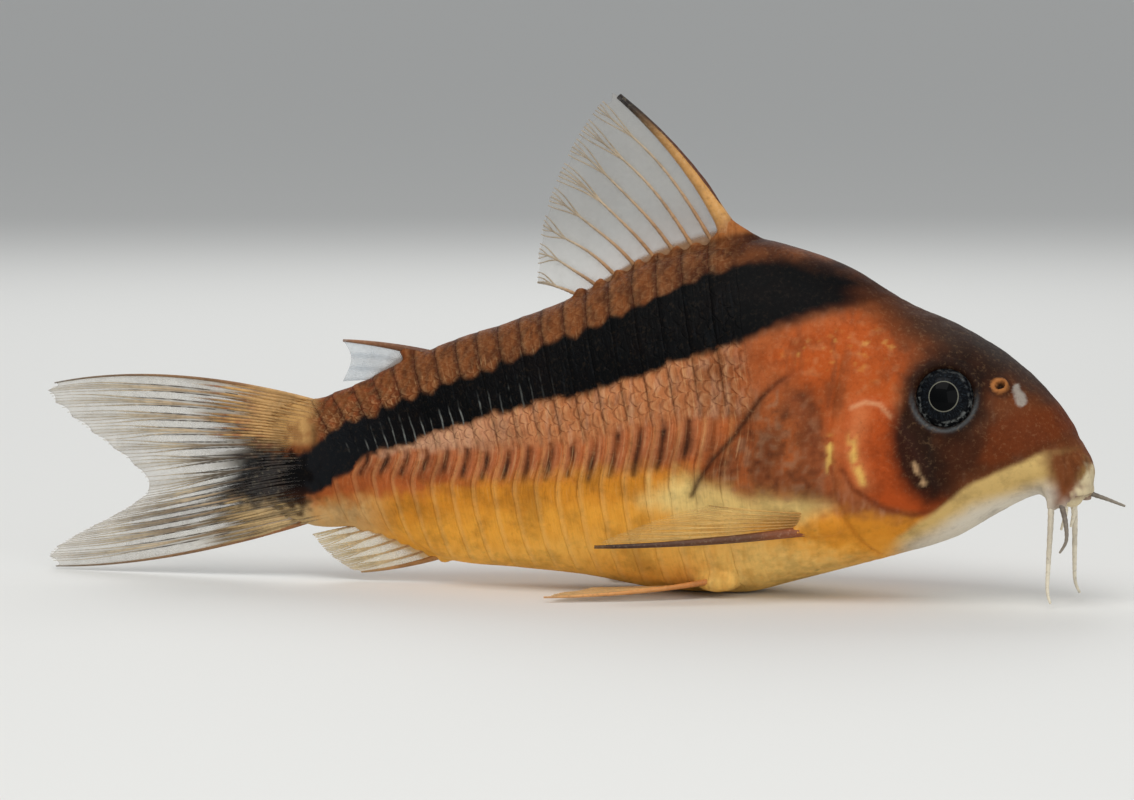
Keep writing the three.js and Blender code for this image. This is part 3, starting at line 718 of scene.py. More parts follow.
def skinRelief(points, girth, plate, cover):
    # how far each point of the skin stands out, in millimetres
    x, y, z = points.T
    share = plate - np.floor(plate)
    step = (relief["plateLow"] + 0.9 * share ** 1.4) * (1 - smooth(0.9, 1.0, share))
    out = body["plateRise"] * step * cover * mix(0.22, 1.0, smooth(-0.25, 0.2, girth))
    out *= mix(1.0, 0.45, smooth(0.45, 0.75, girth)) * mix(0.35, 1.0, smooth(0.0, 0.2, np.abs(girth)))
    out -= relief["beltSeam"] * bell(z, along(beltColumn, x), 0.2) * cover
    out += relief["uneven"] * cloud(points, 1.1, 3) * cover
    gill = gillPlace(x, girth)
    reach = smooth(-0.98, -0.8, girth) * (1 - smooth(0.25, 0.55, girth))
    out -= relief["gillSlit"] * bell(gill, 0, 0.15) * reach
    out += relief["gillBehind"] * smooth(0.0, 0.3, gill) * (1 - smooth(0.8, 2.2, gill)) * reach
    out += relief["gillCover"] * smooth(-0.25, 0.35, insideOf(gillCover, x, z))
    out += relief["shoulder"] * smooth(-0.3, 0.3, insideOf(shoulderPatch, x, z))
    out -= relief["shoulderLine"] * bell(lineDistance(shoulderLine, x, z), 0, 0.16)
    out += smooth(9.0, 11.0, x) * relief["headGrain"] * cloud(points, 0.7, 8)
    for side in sides.values():
        far = eyeDistance(points, side)
        out += relief["eyeRim"] * bell(far, eye["radius"] + 0.42, 0.28)
        out -= relief["eyeSocket"] * (1 - smooth(eye["radius"] - 0.1, eye["radius"] + 0.12, far))
        out -= relief["nostril"] * smooth(0.34, 0.14, nostrilDistance(points, side))
    out -= relief["lipLine"] * bell(lineDistance(relief["lipLinePath"], x, z), 0, 0.2)
    slit = bell(z, mouth["z"] - 0.22, 0.13) * smooth(22.8, 23.2, x) * (np.abs(y) < 1.7)
    out -= relief["mouthSlit"] * slit
    return out


# Outlines and lines of the markings, seen from the side: along and height
bandTop = [(-26.7, 7.6), (-24.9, 8.2), (-22.97, 9.7), (-18.45, 11.68), (-12.06, 13.99), (-5.76, 16.76),
           (-0.11, 19.31), (3.0, 20.5), (6.82, 20.7), (10.04, 19.9), (13.26, 18.6)]
bandLow = [(-26.7, 5.4), (-24.48, 5.4), (-23.18, 6.3), (-20.6, 8.2), (-16.77, 9.48), (-11.71, 11.2),
           (-5.44, 12.8), (0.8, 14.94), (5.84, 16.75), (9.1, 17.7), (12.35, 18.4)]
barsLow = [(-22.0, 6.3), (-19.0, 6.6), (-14.6, 6.5), (-10.2, 6.6), (-5.2, 6.9), (-2.1, 7.4), (1.0, 8.5)]
amberTop = [(-26.0, 4.2), (-22.2, 5.3), (-17.8, 5.9), (-14.6, 6.5), (-10.2, 7.2), (-5.2, 7.9), (0.4, 8.1),
            (7.0, 6.4), (10.0, 5.6), (13.0, 5.3), (15.5, 5.6)]
throatTop = [(12.7, 3.6), (14.8, 5.1), (15.7, 5.6), (17.0, 6.6), (18.0, 7.4), (19.3, 8.0), (21.2, 8.9),
             (22.5, 9.5), (23.4, 9.6)]
headTop = [(8.0, 20.6), (10.0, 19.5), (12.0, 17.9), (13.9, 16.3), (16.5, 15.0), (18.7, 14.0), (20.3, 13.2),
           (22.3, 11.9), (23.8, 9.8)]
eyeMask = [(13.9, 14.0), (15.1, 15.3), (17.6, 15.4), (19.2, 14.2), (19.1, 11.4), (17.9, 10.3), (16.4, 10.1),
           (16.7, 8.6), (16.3, 7.1), (15.5, 6.4), (14.7, 6.5), (13.8, 7.9), (13.2, 10.4), (13.7, 12.0)]
maskBrown = [(16.0, 10.6), (17.9, 10.6), (19.6, 11.2), (20.0, 9.6), (19.2, 8.5), (17.4, 7.7), (16.4, 6.4),
             (15.2, 6.0), (16.0, 8.0)]
maskFleck = [(14.9, 8.6), (15.1, 7.9), (15.4, 7.4)]
cheek = [(19.3, 11.0), (20.7, 11.9), (22.6, 12.0), (23.5, 10.9), (23.2, 10.0), (21.3, 9.2), (19.4, 8.4),
         (18.6, 8.8)]
lipBrown = [(22.7, 9.4), (24.3, 9.9), (24.9, 8.6), (24.4, 7.6), (24.2, 6.4), (23.2, 6.2), (22.8, 7.7)]
lipPale = [(24.5, 8.4), (24.9, 8.9), (25.6, 6.3), (24.1, 5.8), (24.2, 6.9)]
napeOrange = [(7.1, 16.4), (10.4, 17.4), (13.3, 16.9), (14.3, 15.4), (13.7, 13.7), (13.4, 11.2),
              (12.4, 8.1), (10.5, 7.5), (9.5, 9.9), (8.8, 12.3), (7.2, 14.1), (4.8, 14.9)]
paleYellow = [(0.2, 7.6), (3.6, 6.9), (7.5, 6.6), (9.2, 6.0), (7.5, 5.2), (1.1, 4.9), (-2.6, 5.9)]
gillEdge = [(10.3, 8.2), (11.0, 7.0), (12.7, 5.9), (14.4, 5.4), (15.6, 5.7)]
earPale = [(10.8, 12.0), (11.7, 12.35), (12.6, 12.2), (13.3, 11.5)]
earYellow = [(10.9, 10.2), (11.05, 8.9), (11.6, 7.5)]
goldFleck = [(9.45, 10.1), (9.45, 8.2)]
tones = {
    "back": (122, 70, 36), "backDark": (56, 28, 16), "band": (4, 5, 6), "bandGrey": (30, 33, 37),
    "salmon": (184, 114, 70), "foldGold": (170, 104, 54), "salmonFront": (148, 86, 50),
    "salmonRear": (204, 156, 124), "orange": (180, 94, 46), "bar": (66, 38, 26), "amber": (216, 140, 44),
    "gold": (242, 170, 64), "belly": (255, 198, 96), "tan": (206, 172, 120), "pale": (246, 216, 138),
    "barPale": (216, 182, 150), "rust": (150, 74, 40), "shoulder": (126, 68, 38),
    "shoulderGrey": (150, 112, 84), "shoulderDark": (70, 40, 28), "nape": (174, 80, 32),
    "cheekRed": (176, 76, 30), "ear": (204, 116, 68), "earPale": (240, 196, 146),
    "earYellow": (240, 200, 104), "mask": (24, 17, 14), "headTop": (62, 40, 28), "snoutTop": (54, 46, 42),
    "headBrown": (100, 52, 26), "baseGold": (196, 152, 94), "baseTan": (190, 160, 112),
    "maskBrown": (60, 30, 16), "cheekLine": (112, 50, 24), "cheek": (102, 48, 21),
    "cheekDark": (66, 32, 16), "throat": (212, 178, 112), "cream": (222, 212, 194), "lip": (112, 62, 32),
    "lipPale": (212, 194, 156), "nostril": (176, 112, 60), "flap": (180, 176, 166), "bluish": (90, 96, 98),
}
tones = {name: np.array(paint(*value)[:3]) for name, value in tones.items()}


def heightOn(line, x):
    xs, zs = zip(*line)
    return np.interp(x, xs, zs)


def skinColors(points, plate, cover):
    x, y, z = points.T
    share = plate - np.floor(plate)
    rough, fine = cloud(points, 1.6, 1), cloud(points, 0.5, 2)
    streaky = cloud(points * (2.2, 1, 0.45), 0.6, 5)
    ragged = 0.3 * rough + 0.16 * fine
    color = np.tile(tones["back"], (len(points), 1))

    def lay(name, amount):
        nonlocal color
        color = mix(color, tones[name], np.clip(amount, 0, 1)[:, None])

    def near(line, width):
        return bell(lineDistance(line, x, z), 0, width)

    def within(outline):
        return insideOf(outline, x, z)

    bar = bell(share, 0.5, 0.17)
    # the back: dark gaps between rusty plates, darkest before the dorsal fin
    lay("backDark", cover * 0.8 * bell(share, 0.02, 0.15) + cover * 0.8 * bell(share, 0.98, 0.09))
    lay("backDark", 0.5 * smooth(-0.05, 0.4, streaky + 0.5 * rough))
    lay("backDark", 0.75 * smooth(-5, 3, x) * (0.85 + rough))
    lay("rust", 0.45 * smooth(-16, -22, x) * smooth(-0.1, 0.3, fine))
    foot = smooth(0.1, 0.6, z - along(topColumn, x)) * smooth(-8.5, -7.0, x)
    lay("foldGold", 0.8 * foot)
    # flank under the band
    low = heightOn(bandLow, x) + 0.25 * (share - 0.5) * cover
    high = heightOn(bandTop, x) + 0.7 * (np.abs(share - 0.5) - 0.25) * cover
    flank = smooth(0.4, -0.4, z - low + ragged)
    lay("salmon", flank)
    lay("salmonFront", 0.95 * flank * smooth(-3, 3, x))
    lay("salmonRear", 0.9 * flank * smooth(-8, -19, x))
    lay("salmonRear", 0.35 * flank * smooth(0.0, 0.45, streaky))
    lay("backDark", 0.42 * smooth(0.4, -0.4, z - low) * cover * bell(share, 0.98, 0.1))
    belt = along(beltColumn, x)
    under = smooth(0.5, -0.3, z - belt + 0.5 * fine) * smooth(11.0, 7.0, x)
    lay("orange", under)
    barFade = smooth(0.0, 1.0, (z - heightOn(barsLow, x)) / 0.9 + 0.6 * fine)
    depth = heightOn(amberTop, x) - z + 0.5 * fine + 0.35 * rough
    lay("amber", smooth(-0.8, 0.9, depth))
    lay("gold", smooth(1.0, 3.2, depth))
    lay("belly", 0.7 * smooth(3.2, 5.4, depth))
    lay("tan", 0.8 * smooth(-18.5, -22.5, x) * smooth(-0.6, 0.8, depth))
    ridge = bell(share, 0.5, 0.33) - bar
    barred = under * barFade * smooth(-24, -21, x) * smooth(3.2, 1.0, x)
    lay("barPale", 0.25 * barred * np.clip(ridge, 0, 1))
    lay("bar", barred * bar * (0.9 + 0.6 * streaky))
    ribs = cover * smooth(-0.6, 0.8, depth) * bell(share, 0.8, 0.13)
    uneven = 0.5 + 0.9 * cloud(points * (1, 1, 0.5), 1.2, 12)
    lay("pale", mix(0.05, 0.6, bell(x, 0.5, 4.0)) * ribs * smooth(3.0, 1.0, depth) * uneven)
    lay("pale", 0.55 * smooth(2.0, 4.2, depth) * smooth(-3.0, 6.0, x))
    lay("pale", 0.12 * under * bell(share, 0.86, 0.08) * smooth(-24, -20, x))
    lay("amber", 0.25 * smooth(0.0, 0.5, streaky) * smooth(-0.5, 0.5, depth))
    # shoulder and nape
    lay("orange", 0.8 * smooth(2.0, 5.0, x) * smooth(-0.2, 0.5, low - z) * smooth(11.5, 13.5, z))
    lay("pale", 0.9 * smooth(-1.0, 0.7, within(paleYellow) + ragged))
    patch = smooth(-1.1, 0.7, within(shoulderPatch) + ragged)
    lay("shoulder", 0.9 * patch)
    lay("orange", 0.6 * patch * smooth(0.0, 0.45, rough))
    lay("shoulderGrey", 0.5 * patch * smooth(0.05, 0.5, fine + 0.3 * streaky))
    lay("shoulderDark", 0.5 * patch * smooth(-0.05, -0.5, fine + 0.4 * rough))
    lay("backDark", 0.85 * near(shoulderLine, 0.17))
    nape = smooth(-1.0, 0.5, within(napeOrange) + 1.3 * ragged)
    lay("nape", nape)
    lay("salmon", 0.4 * nape * smooth(0.05, 0.5, fine - 0.3 * rough))
    lay("shoulder", 0.5 * nape * smooth(0.1, 0.55, rough + 0.5 * streaky))
    flecks = smooth(0.3, 0.6, cloud(points * (0.8, 1, 1.4), 0.42, 6)) * smooth(0.2, 1.0, within(napeOrange))
    lay("earYellow", 0.24 * flecks * smooth(13.0, 15.5, z))
    lay("ear", 0.68 * np.exp(-((x - 10.9) / 1.2) ** 2 - ((z - 10.0) / 2.1) ** 2))
    lay("rust", 0.35 * smooth(0.5, -1.5, within(napeOrange)) * smooth(-2.5, -1.0, within(napeOrange)))
    # head
    head = smooth(8.6, 10.8, x)
    top = z - heightOn(headTop, x) + 0.8 * ragged
    lay("cheekRed", head * smooth(-0.4, 0.4, within(gillCover) + 0.5 * ragged))
    lay("cheekDark", head * 0.7 * smooth(14.6, 17.0, x))
    lay("ear", 0.8 * np.exp(-(lineDistance([(11.4, 11.6), (10.9, 9.5), (11.6, 7.4)], x, z) / 0.7) ** 2))
    lay("headBrown", head * smooth(-2.2, 0.3, top))
    lay("headTop", head * smooth(-0.5, 0.9, top) * mix(0.75, 1.0, smooth(12, 16, x)))
    lay("snoutTop", head * smooth(0.0, 1.4, top) * smooth(13, 18, x))
    lay("maskBrown", 0.9 * smooth(-0.6, 0.6, within(maskBrown) + 0.9 * ragged))
    lay("cheek", smooth(-0.4, 0.5, within(cheek) + 0.6 * ragged))
    lay("cheekLine", 0.6 * near(gillEdge, 0.2))
    lay("mask", 0.95 * smooth(-0.8, 0.7, within(eyeMask) + 0.9 * ragged))
    lay("earPale", 0.55 * near(maskFleck, 0.24) * smooth(-0.05, 0.3, fine))
    lay("earPale", 0.34 * near(earPale, 0.14))
    lay("earYellow", 0.7 * near(earYellow, 0.26) * smooth(-0.5, 0.2, fine))
    lay("earYellow", 0.9 * near(goldFleck, 0.2) * smooth(-0.25, 0.15, fine))
    throat = heightOn(throatTop, x) - z + 0.35 * ragged
    front = smooth(12.0, 14.2, x)
    lay("throat", front * smooth(-0.15, 0.35, throat))
    lay("cream", front * smooth(0.9, 2.2, throat + 0.12 * (19 - x)))
    lay("lip", smooth(-0.8, 0.5, within(lipBrown) + 0.9 * ragged))
    grain = cloud(points * (3, 3, 0.5), 1.1, 9)
    lay("cheekDark", 0.4 * smooth(-0.2, 0.3, within(lipBrown)) * smooth(0.0, 0.5, grain))
    lay("lipPale", smooth(-0.25, 0.25, within(lipPale) + 0.5 * fine))
    chin = smooth(22.4, 22.9, x) * smooth(mouth["z"] + 0.1, mouth["z"] - 0.5, z)
    lay("lipPale", chin * (np.abs(y) < 2.0))
    # band
    blur = 0.22 + 0.55 * smooth(1.0, 9.0, x)
    black = smooth(-1, 1, (high - z + 0.8 * ragged) / blur) * smooth(-1, 1, (z - low + ragged) / blur)
    black *= smooth(13.5, 9.5, x + 1.2 * rough)
    lay("band", black)
    lay("bandGrey", 0.5 * black * smooth(-17, -25, x))
    whiskers = black * cover * smooth(1.9, 0.4, z - low + 1.2 * fine)
    whiskers *= smooth(-7, -14, x) * smooth(-26, -23.5, x) * (0.75 + 0.5 * rough)
    end = smooth(-24.0, -25.6, x)
    lay("baseGold", end * smooth(8.3, 9.1, z + 0.5 * rough))
    lay("back", 0.6 * end * smooth(8.3, 9.1, z) * smooth(0.0, 0.35, fine))
    lay("baseTan", end * smooth(5.6, 4.8, z + 0.5 * rough))
    base = np.exp(-((x + 26.4) / 2.0) ** 2 - ((z - 6.2) / 1.9) ** 2)
    lay("band", 0.95 * smooth(0.25, 0.7, base + 0.4 * fine))
    lay("backDark", 0.6 * smooth(0.2, 0.5, base + 0.4 * fine) * smooth(6.2, 5.0, z))
    for side in sides.values():
        far = nostrilDistance(points, side)
        lay("mask", 0.6 * smooth(1.0, 0.6, far))
        lay("nostril", 0.85 * smooth(0.62, 0.48, far))
        lay("mask", 0.95 * smooth(0.32, 0.22, far))
        onFlap = lineDistance(nostril["flap"], x, z) / np.interp(z, (12.4, 13.3), (0.34, 0.16))
        lay("flap", 0.6 * smooth(1.1, 0.6, onFlap + 0.3 * fine) * (y * side > 1.2))
        ring = eyeDistance(points, side)
        rim = bell(ring, eye["radius"] + 0.16, 0.13)
        lay("bluish", 0.75 * rim * smooth(0.9, -0.6, z - eye["z"]))
    return color, black, whiskers


def makeSkin():
    shape = skinShape()
    raw = objectFrom("rawSkin", meshFrom("rawSkin", shape.points, shape.faces))
    remesh = raw.modifiers.new("remesh", "REMESH")
    remesh.mode = "VOXEL"
    remesh.voxel_size = body["voxel"]
    graph = bpy.context.evaluated_depsgraph_get()
    mesh = bpy.data.meshes.new_from_object(raw.evaluated_get(graph))
    bpy.data.objects.remove(raw)
    edges = np.empty(len(mesh.edges) * 2, np.int32)
    mesh.edges.foreach_get("vertices", edges)
    points = relaxed(getPoints(mesh), edges.reshape(-1, 2), 4)
    setPoints(mesh, points)
    x, y, z = points.T
    girth = girthOf(x, y, z)
    plate = platePlace(x, girth)
    cover = (smooth(-0.2, 0.3, plate) * smooth(0.0, 0.6, body["plates"] - 0.2 - plate)
             * smooth(-0.86, -0.72, girth))
    normals = np.empty(len(points) * 3, np.float32)
    mesh.vertices.foreach_get("normal", normals)
    points = points + normals.reshape(-1, 3) * skinRelief(points, girth, plate, cover)[:, None]
    colors, black, whiskers = skinColors(points, plate, cover)
    setColor(mesh, "skinColor", colors)
    setFloat(mesh, "plate", plate)
    setFloat(mesh, "plateCover", cover)
    setFloat(mesh, "girth", girth)
    setFloat(mesh, "bandCover", black)
    setFloat(mesh, "whiskerCover", whiskers)
    points[:, 2] = np.maximum(points[:, 2], 0)
    setPoints(mesh, bend(points))
    shadeSmooth(mesh)
    mesh.materials.clear()
    mesh.materials.append(skinMaterial)
    return objectFrom("fishSkin", mesh)


skin = makeSkin()
print("skin made", len(skin.data.polygons), "faces")
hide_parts("head", "trunk", "tail")
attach(skin, "root")


# Eyes
def makeEyeMaterial():
    made, tree, shader = newMaterial("eyeSurface", Roughness=0.5, Specular_IOR_Level=0.03, Coat_Weight=0.06,
                                     Coat_Roughness=0.03)
    far, angle = attribute(tree, "eyeRadius"), attribute(tree, "eyeAngle")
    grain = noiseAt(objectPlace(tree), 3200.0, 3.0)
    threads = noiseAt(wireFrom(tree, "ShaderNodeCombineXYZ", {"X": angle * 9.0, "Y": far * 1.6}), 2.2, 4.0)
    iris = mixColors(threads.ramp(0.45, 0.7), paint(7, 8, 11), paint(28, 34, 40))
    iris = mixColors(grain.ramp(0.64, 0.76), iris, paint(66, 72, 74))
    silver = mixColors(grain.ramp(0.44, 0.62), paint(16, 17, 19), paint(104, 106, 104))
    # a silver rim, brighter below, and a thin pale ring round the pupil
    rim = far.ramp(eye["iris"] - 0.1, eye["iris"] + 0.06)
    rim = rim * (angle.calc("SINE").ramp(0.4, -0.6) * 0.75 + 0.25)
    ring = eye["pupil"] + eye["ring"]
    bright = far.ramp(eye["pupil"], eye["pupil"] + 0.02) * far.ramp(ring + 0.04, ring)
    color = mixColors(bright * 0.6, mixColors(rim, iris, silver), paint(136, 134, 118))
    color = mixColors(far.ramp(eye["pupil"] + 0.02, eye["pupil"] - 0.01), color, paint(2, 3, 4))
    feed(shader, {"Base Color": color})
    return made


eyeMaterial = makeEyeMaterial()


def makeEye(sideName):
    side = sides[sideName]
    place, turn = eyeFrame(side)
    rings, around = 64, 96
    lat = np.linspace(0.012, math.pi - 0.012, rings)
    lon = np.linspace(0, 2 * math.pi, around, endpoint=False)
    local = [(math.sin(a) * math.cos(b), side * math.cos(a), math.sin(a) * math.sin(b))
             for a in lat for b in lon]
    local = np.array(local + [(0, side, 0), (0, -side, 0)])
    # the cornea stands a little proud of the pupil
    dome = 1 + 0.05 * np.exp(-(np.hypot(local[:, 0], local[:, 2]) / 0.5) ** 2) * (local[:, 1] * side > 0)
    size = np.array((eye["radius"], eye["deep"], eye["radius"]))
    points = (local * dome[:, None] * size) @ turn.T + place
    mesh = meshFrom("eye", bend(points), closedRings(rings, around, side < 0))
    setFloat(mesh, "eyeRadius", np.hypot(local[:, 0], local[:, 2]) * eye["radius"])
    setFloat(mesh, "eyeAngle", np.arctan2(local[:, 2], local[:, 0]))
    shadeSmooth(mesh)
    mesh.materials.append(eyeMaterial)
    made = objectFrom(sideName + "Eye", mesh)
    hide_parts("eye_" + sideName)
    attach(made, "root")
    return made


for sideName in sides:
    makeEye(sideName)
print("eyes made")


# Rays and barbels: a curve network becomes round, beaded stems
def makeStemTree():
    tree, names, given, outlet = newTree("stems", "GeometryNodeTree", [
        ("Geometry", "Geometry", None), ("Thickness", "Float", 1.0), ("Beads", "Float", 0.1),
        ("Bead Length", "Float", 0.0004), ("Sides", "Int", 8), ("Seed", "Int", 4),
        ("Material", "Material", None)], [("Geometry", "Geometry")])
    curves = wireFrom(tree, "GeometryNodeMeshToCurve", {"Mesh": given["Geometry"]})
    size, ringed = (wireFrom(tree, "GeometryNodeInputNamedAttribute", {"Name": name}, data_type="FLOAT")
                    for name in ("stemRadius", "stemRings"))
    run = wireFrom(tree, "GeometryNodeSplineParameter", output="Length")
    wander = wireFrom(tree, "ShaderNodeTexNoise", {"Scale": 900.0, "W": given["Seed"]},
                      noise_dimensions="4D")
    wave = (run.calc("DIVIDE", given["Bead Length"]) * (2 * math.pi)).calc("COSINE") + (wander - 0.5)
    radius = size * (wave * (ringed * given["Beads"]) + 1.0) * given["Thickness"]
    shaped = wireFrom(tree, "GeometryNodeSetCurveRadius", {"Curve": curves, "Radius": radius})
    circle = wireFrom(tree, "GeometryNodeCurvePrimitiveCircle",
                      {"Resolution": given["Sides"], "Radius": 1.0})
    stems = addNode(tree, "GeometryNodeCurveToMesh",
                    {"Curve": shaped, "Profile Curve": circle, "Fill Caps": True})
    if "Scale" in stems.inputs:
        feed(stems, {"Scale": radius})
    smoothed = wireFrom(tree, "GeometryNodeSetShadeSmooth", {"Geometry": Wire(tree, stems.outputs[0])})
    real = wireFrom(tree, "GeometryNodeRealizeInstances", {"Geometry": smoothed})
    dressed = wireFrom(tree, "GeometryNodeSetMaterial", {"Geometry": real, "Material": given["Material"]})
    feed(outlet, {"Geometry": dressed})
    return tree, names


stemTree, stemInputs = makeStemTree()


def growStems(name, lines, values, material):
    # lines: (points and radii in millimetres, colours, opacity, share of the rings) for each stem
    points, edges, radii, colors, clear, rings = [], [], [], [], [], []
    for line, radius, color, alpha, ringed in lines:
        start = len(points)
        line[:, 2] = np.maximum(line[:, 2], radius + 0.02)
        points.extend(bend(line))
        edges.extend((start + i, start + i + 1) for i in range(len(line) - 1))
        radii.extend(radius * mm)
        colors.extend(color)
        clear.extend(alpha)
        rings.extend([ringed] * len(line))
    mesh = bpy.data.meshes.new(name)
    mesh.from_pydata([tuple(p) for p in points], edges, [])
    setFloat(mesh, "stemRadius", radii)
    setColor(mesh, "finColor", colors)
    setFloat(mesh, "finAlpha", clear)
    setFloat(mesh, "stemRings", rings)
    holder = objectFrom(name, mesh)
    modifier = holder.modifiers.new("stems", "NODES")
    modifier.node_group = stemTree
    for key, value in {"Thickness": 1.0, **values, "Material": material}.items():
        modifier[stemInputs[key]] = value
    graph = bpy.context.evaluated_depsgraph_get()
    grown = bpy.data.meshes.new_from_object(holder.evaluated_get(graph))
    bpy.data.objects.remove(holder)
    return grown


# Fins: each ray runs from its root past a control point to its end, t counts the rays from 0 to 1
def dorsalRay(t, side):
    x = mix(dorsal["front"], dorsal["rear"], t)
    root = (x, 0, topAt(x) - 0.15)
    end = (-5.7 - 4.8 * math.sin(t * math.pi / 2) ** 1.05, 0.35, 30.9 - 12 * t ** 1.25)
    return root, (mix(x, end[0], 0.45) + 0.7 * (1 - t), 0.1, mix(root[2], end[2], 0.55) + 0.25), end


def caudalRay(t, side):
    s = 1 - 2 * t
    lobe = abs(s)
    root = (-26.0 + 2.0 * lobe ** 3, 0, 7.4 + (3.6 if s > 0 else 3.4) * s)
    short = 0.9 * float(smooth(0.8, 1.0, lobe))
    height = 7.0 - short / 2 if s > 0 else 5.35
    end = (-36.3 - 7.2 * math.sin(math.pi * lobe / 2) ** 1.35 + short, 0.5,
           max(5.4 + math.copysign(height * lobe ** 0.85, s), 0.1))
    rise = 2.2 * s * s if s > 0 else -1.7 * lobe * lobe
    return root, ((root[0] + end[0]) / 2 - 1.2 * lobe, 0.1, max((root[2] + end[2]) / 2 + rise, 0.3)), end


def analRay(t, side):
    x = mix(anal["front"], anal["rear"], t)
    root = (x, 0, bottomAt(x) + 0.15)
    end = (mix(-21.8, -25, t ** 0.8), -0.2, 0.45 + 2.3 * t ** 1.4)
    return root, ((x + end[0]) / 2, -0.1, (root[2] + end[2]) / 2 - 0.3 * (1 - t)), end


def adiposeRay(t, side):
    x = mix(-17.4, -20.9, t)
    root = (x, 0, topAt(x) - 0.25)
    end = (mix(-23, -23.2, t), 0, mix(15.1, 12.5, t))
    return root, ((x + end[0]) / 2, 0, (root[2] + end[2]) / 2 + 0.25 * (1 - t)), end


def pelvicRay(t, side):
    root = (1.3 - 0.5 * t, side * mix(4.1, 2.4, t), mix(0.95, 0.55, t))
    end = (-8.2 + 1.9 * t, side * mix(8.2, 2.9, t ** 0.9), 0.23)
    return root, (mix(root[0], end[0], 0.45), side * mix(7, 2.8, t), 0.3), end


finBasics = {
    "spine": 0.2,          # radius of the stiff first ray at its root
    "spineReach": 1,
    "stem": 0.1,           # radius of a soft ray at its root
    "tip": 0.03,
    "branch": 0.4,         # where it divides, as a share of its length
    "spread": 0.4,
    "bead": 0.1,           # how far its joints swell
    "beadLength": 0.36,
    "notch": 0.03,         # how far the membrane falls back between two rays
    "ripple": 0.05,
    "alpha": 0.5,          # opacity of the membrane
    "rootCover": 0.25,     # how far the opaque root reaches
    "fade": 0.5,           # how much of a ray's opacity is lost at its tip
    "across": (0, 1, 0),   # where the membrane faces
}
# stems: root, tip; spines: root, middle, tip; web: root, edge
fins = {
    "dorsal_fin": {
        "ray": dorsalRay, "rays": 9, "seed": 3, "slot": "fin", "spine": 0.52, "spineReach": 0.96,
        "stem": 0.14, "tip": 0.05, "branch": 0.62, "spread": 0.34, "beadLength": 0.34, "ripple": 0.16,
        "alpha": 0.22, "rootCover": 0.1, "stems": ((168, 122, 78), (186, 168, 142)),
        "spines": ((204, 150, 84), (84, 42, 20), (30, 22, 18)), "web": ((150, 110, 74), (176, 170, 158))},
    "caudal_fin": {
        "ray": caudalRay, "rays": 15, "seed": 5, "slot": "fin", "spine": 0.15, "stem": 0.12, "branch": 0.34,
        "bead": 0.16, "beadLength": 0.42, "notch": 0.02, "ripple": 0.2, "fade": 0.7, "rootCover": 0.36,
        "stems": ((166, 122, 78), (206, 188, 158)),
        "spines": ((150, 100, 58), (136, 100, 66), (124, 104, 82)),
        "web": ((176, 150, 120), (204, 198, 186))},
    "anal_fin": {
        "ray": analRay, "rays": 7, "seed": 7, "slot": "fin", "branch": 0.35, "bead": 0.12,
        "beadLength": 0.34, "ripple": 0.08, "stems": ((176, 128, 74), (214, 190, 146)),
        "spines": ((186, 132, 72), (172, 122, 68), (176, 136, 88)),
        "web": ((216, 176, 112), (222, 206, 168))},
    "adipose_fin": {
        "ray": adiposeRay, "rays": 4, "seed": 9, "slot": "fin", "spine": 0.3, "bead": 0.04,
        "beadLength": 0.4, "notch": 0.12, "alpha": 0.45,
        "spines": ((96, 56, 34), (120, 76, 46), (150, 104, 72)), "web": ((150, 132, 118), (186, 194, 200))},
    "pectoral_fin": {
        "ray": pectoralRay, "rays": 8, "seed": 11, "slot": "paired_fin", "spine": 0.36, "stem": 0.06,
        "ripple": 0.12, "alpha": 0.09, "fade": 0.7, "rootCover": 0.16, "across": (0.25, 0.83, 0.5),
        "stems": ((182, 128, 58), (214, 170, 92)), "spines": ((150, 80, 40), (92, 54, 28), (52, 28, 16)),
        "web": ((204, 142, 70), (238, 206, 132))},
    "pelvic_fin": {
        "ray": pelvicRay, "rays": 6, "seed": 13, "slot": "paired_fin", "ripple": 0.04, "fade": 0.4,
        "rootCover": 0.2, "across": (0, 0, 1), "stems": ((220, 156, 84), (228, 186, 124)),
        "spines": ((206, 132, 66), (210, 146, 82), (216, 160, 100)),
        "web": ((222, 166, 100), (230, 196, 146))},
}
tail = {
    "fineLine": (84, 76, 68),     # beside each ray
    "darkRay": (44, 40, 38),
    "lowRay": (92, 76, 60),
    "lowWeb": (96, 84, 70),
    "overlaps": 52,               # fine strands over the end of the flesh, on each side
}
raySteps = 44
webForm = {
    "along": 56,       # points along each ray
    "gap": 10,         # steps from one ray to the next
    "thick": 0.05,     # half of the thickness at the root
    "low": (0.08, 0.03),   # how near the floor its two faces may come
}


def tinted(colors):
    return [np.array(paint(*color)[:3]) for color in colors]


def finSurface(fin, side):
    # points of the flat fin and of the folded one, for any ray share and any share of its length
    shares = np.linspace(0, 1, 61)
    rays = [fin["ray"](t, side) for t in shares]
    parts = [np.array([ray[i] for ray in rays], float) for i in range(3)]
    across = mirrored(fin["across"], side)
    across /= np.linalg.norm(across)

    def flat(share, t):
        share, t = np.broadcast_arrays(np.asarray(share, float), np.asarray(t, float))
        pick = [np.stack([np.interp(share, shares, part[:, k]) for k in range(3)], -1) for part in parts]
        t = t[..., None]
        return (1 - t) ** 2 * pick[0] + 2 * t * (1 - t) * pick[1] + t * t * pick[2]

    def folded(share, t):
        # the membrane hangs in shallow folds between its rays
        share, t = np.broadcast_arrays(np.asarray(share, float), np.asarray(t, float))
        fold = np.sin(share * 5.1 + fin["seed"]) * 0.9 + np.sin(share * 11 + t * 3 + fin["seed"] * 2) * 0.5
        return flat(share, t) + (fin["ripple"] * fold * t ** 1.4)[..., None] * across
    return flat, folded, across


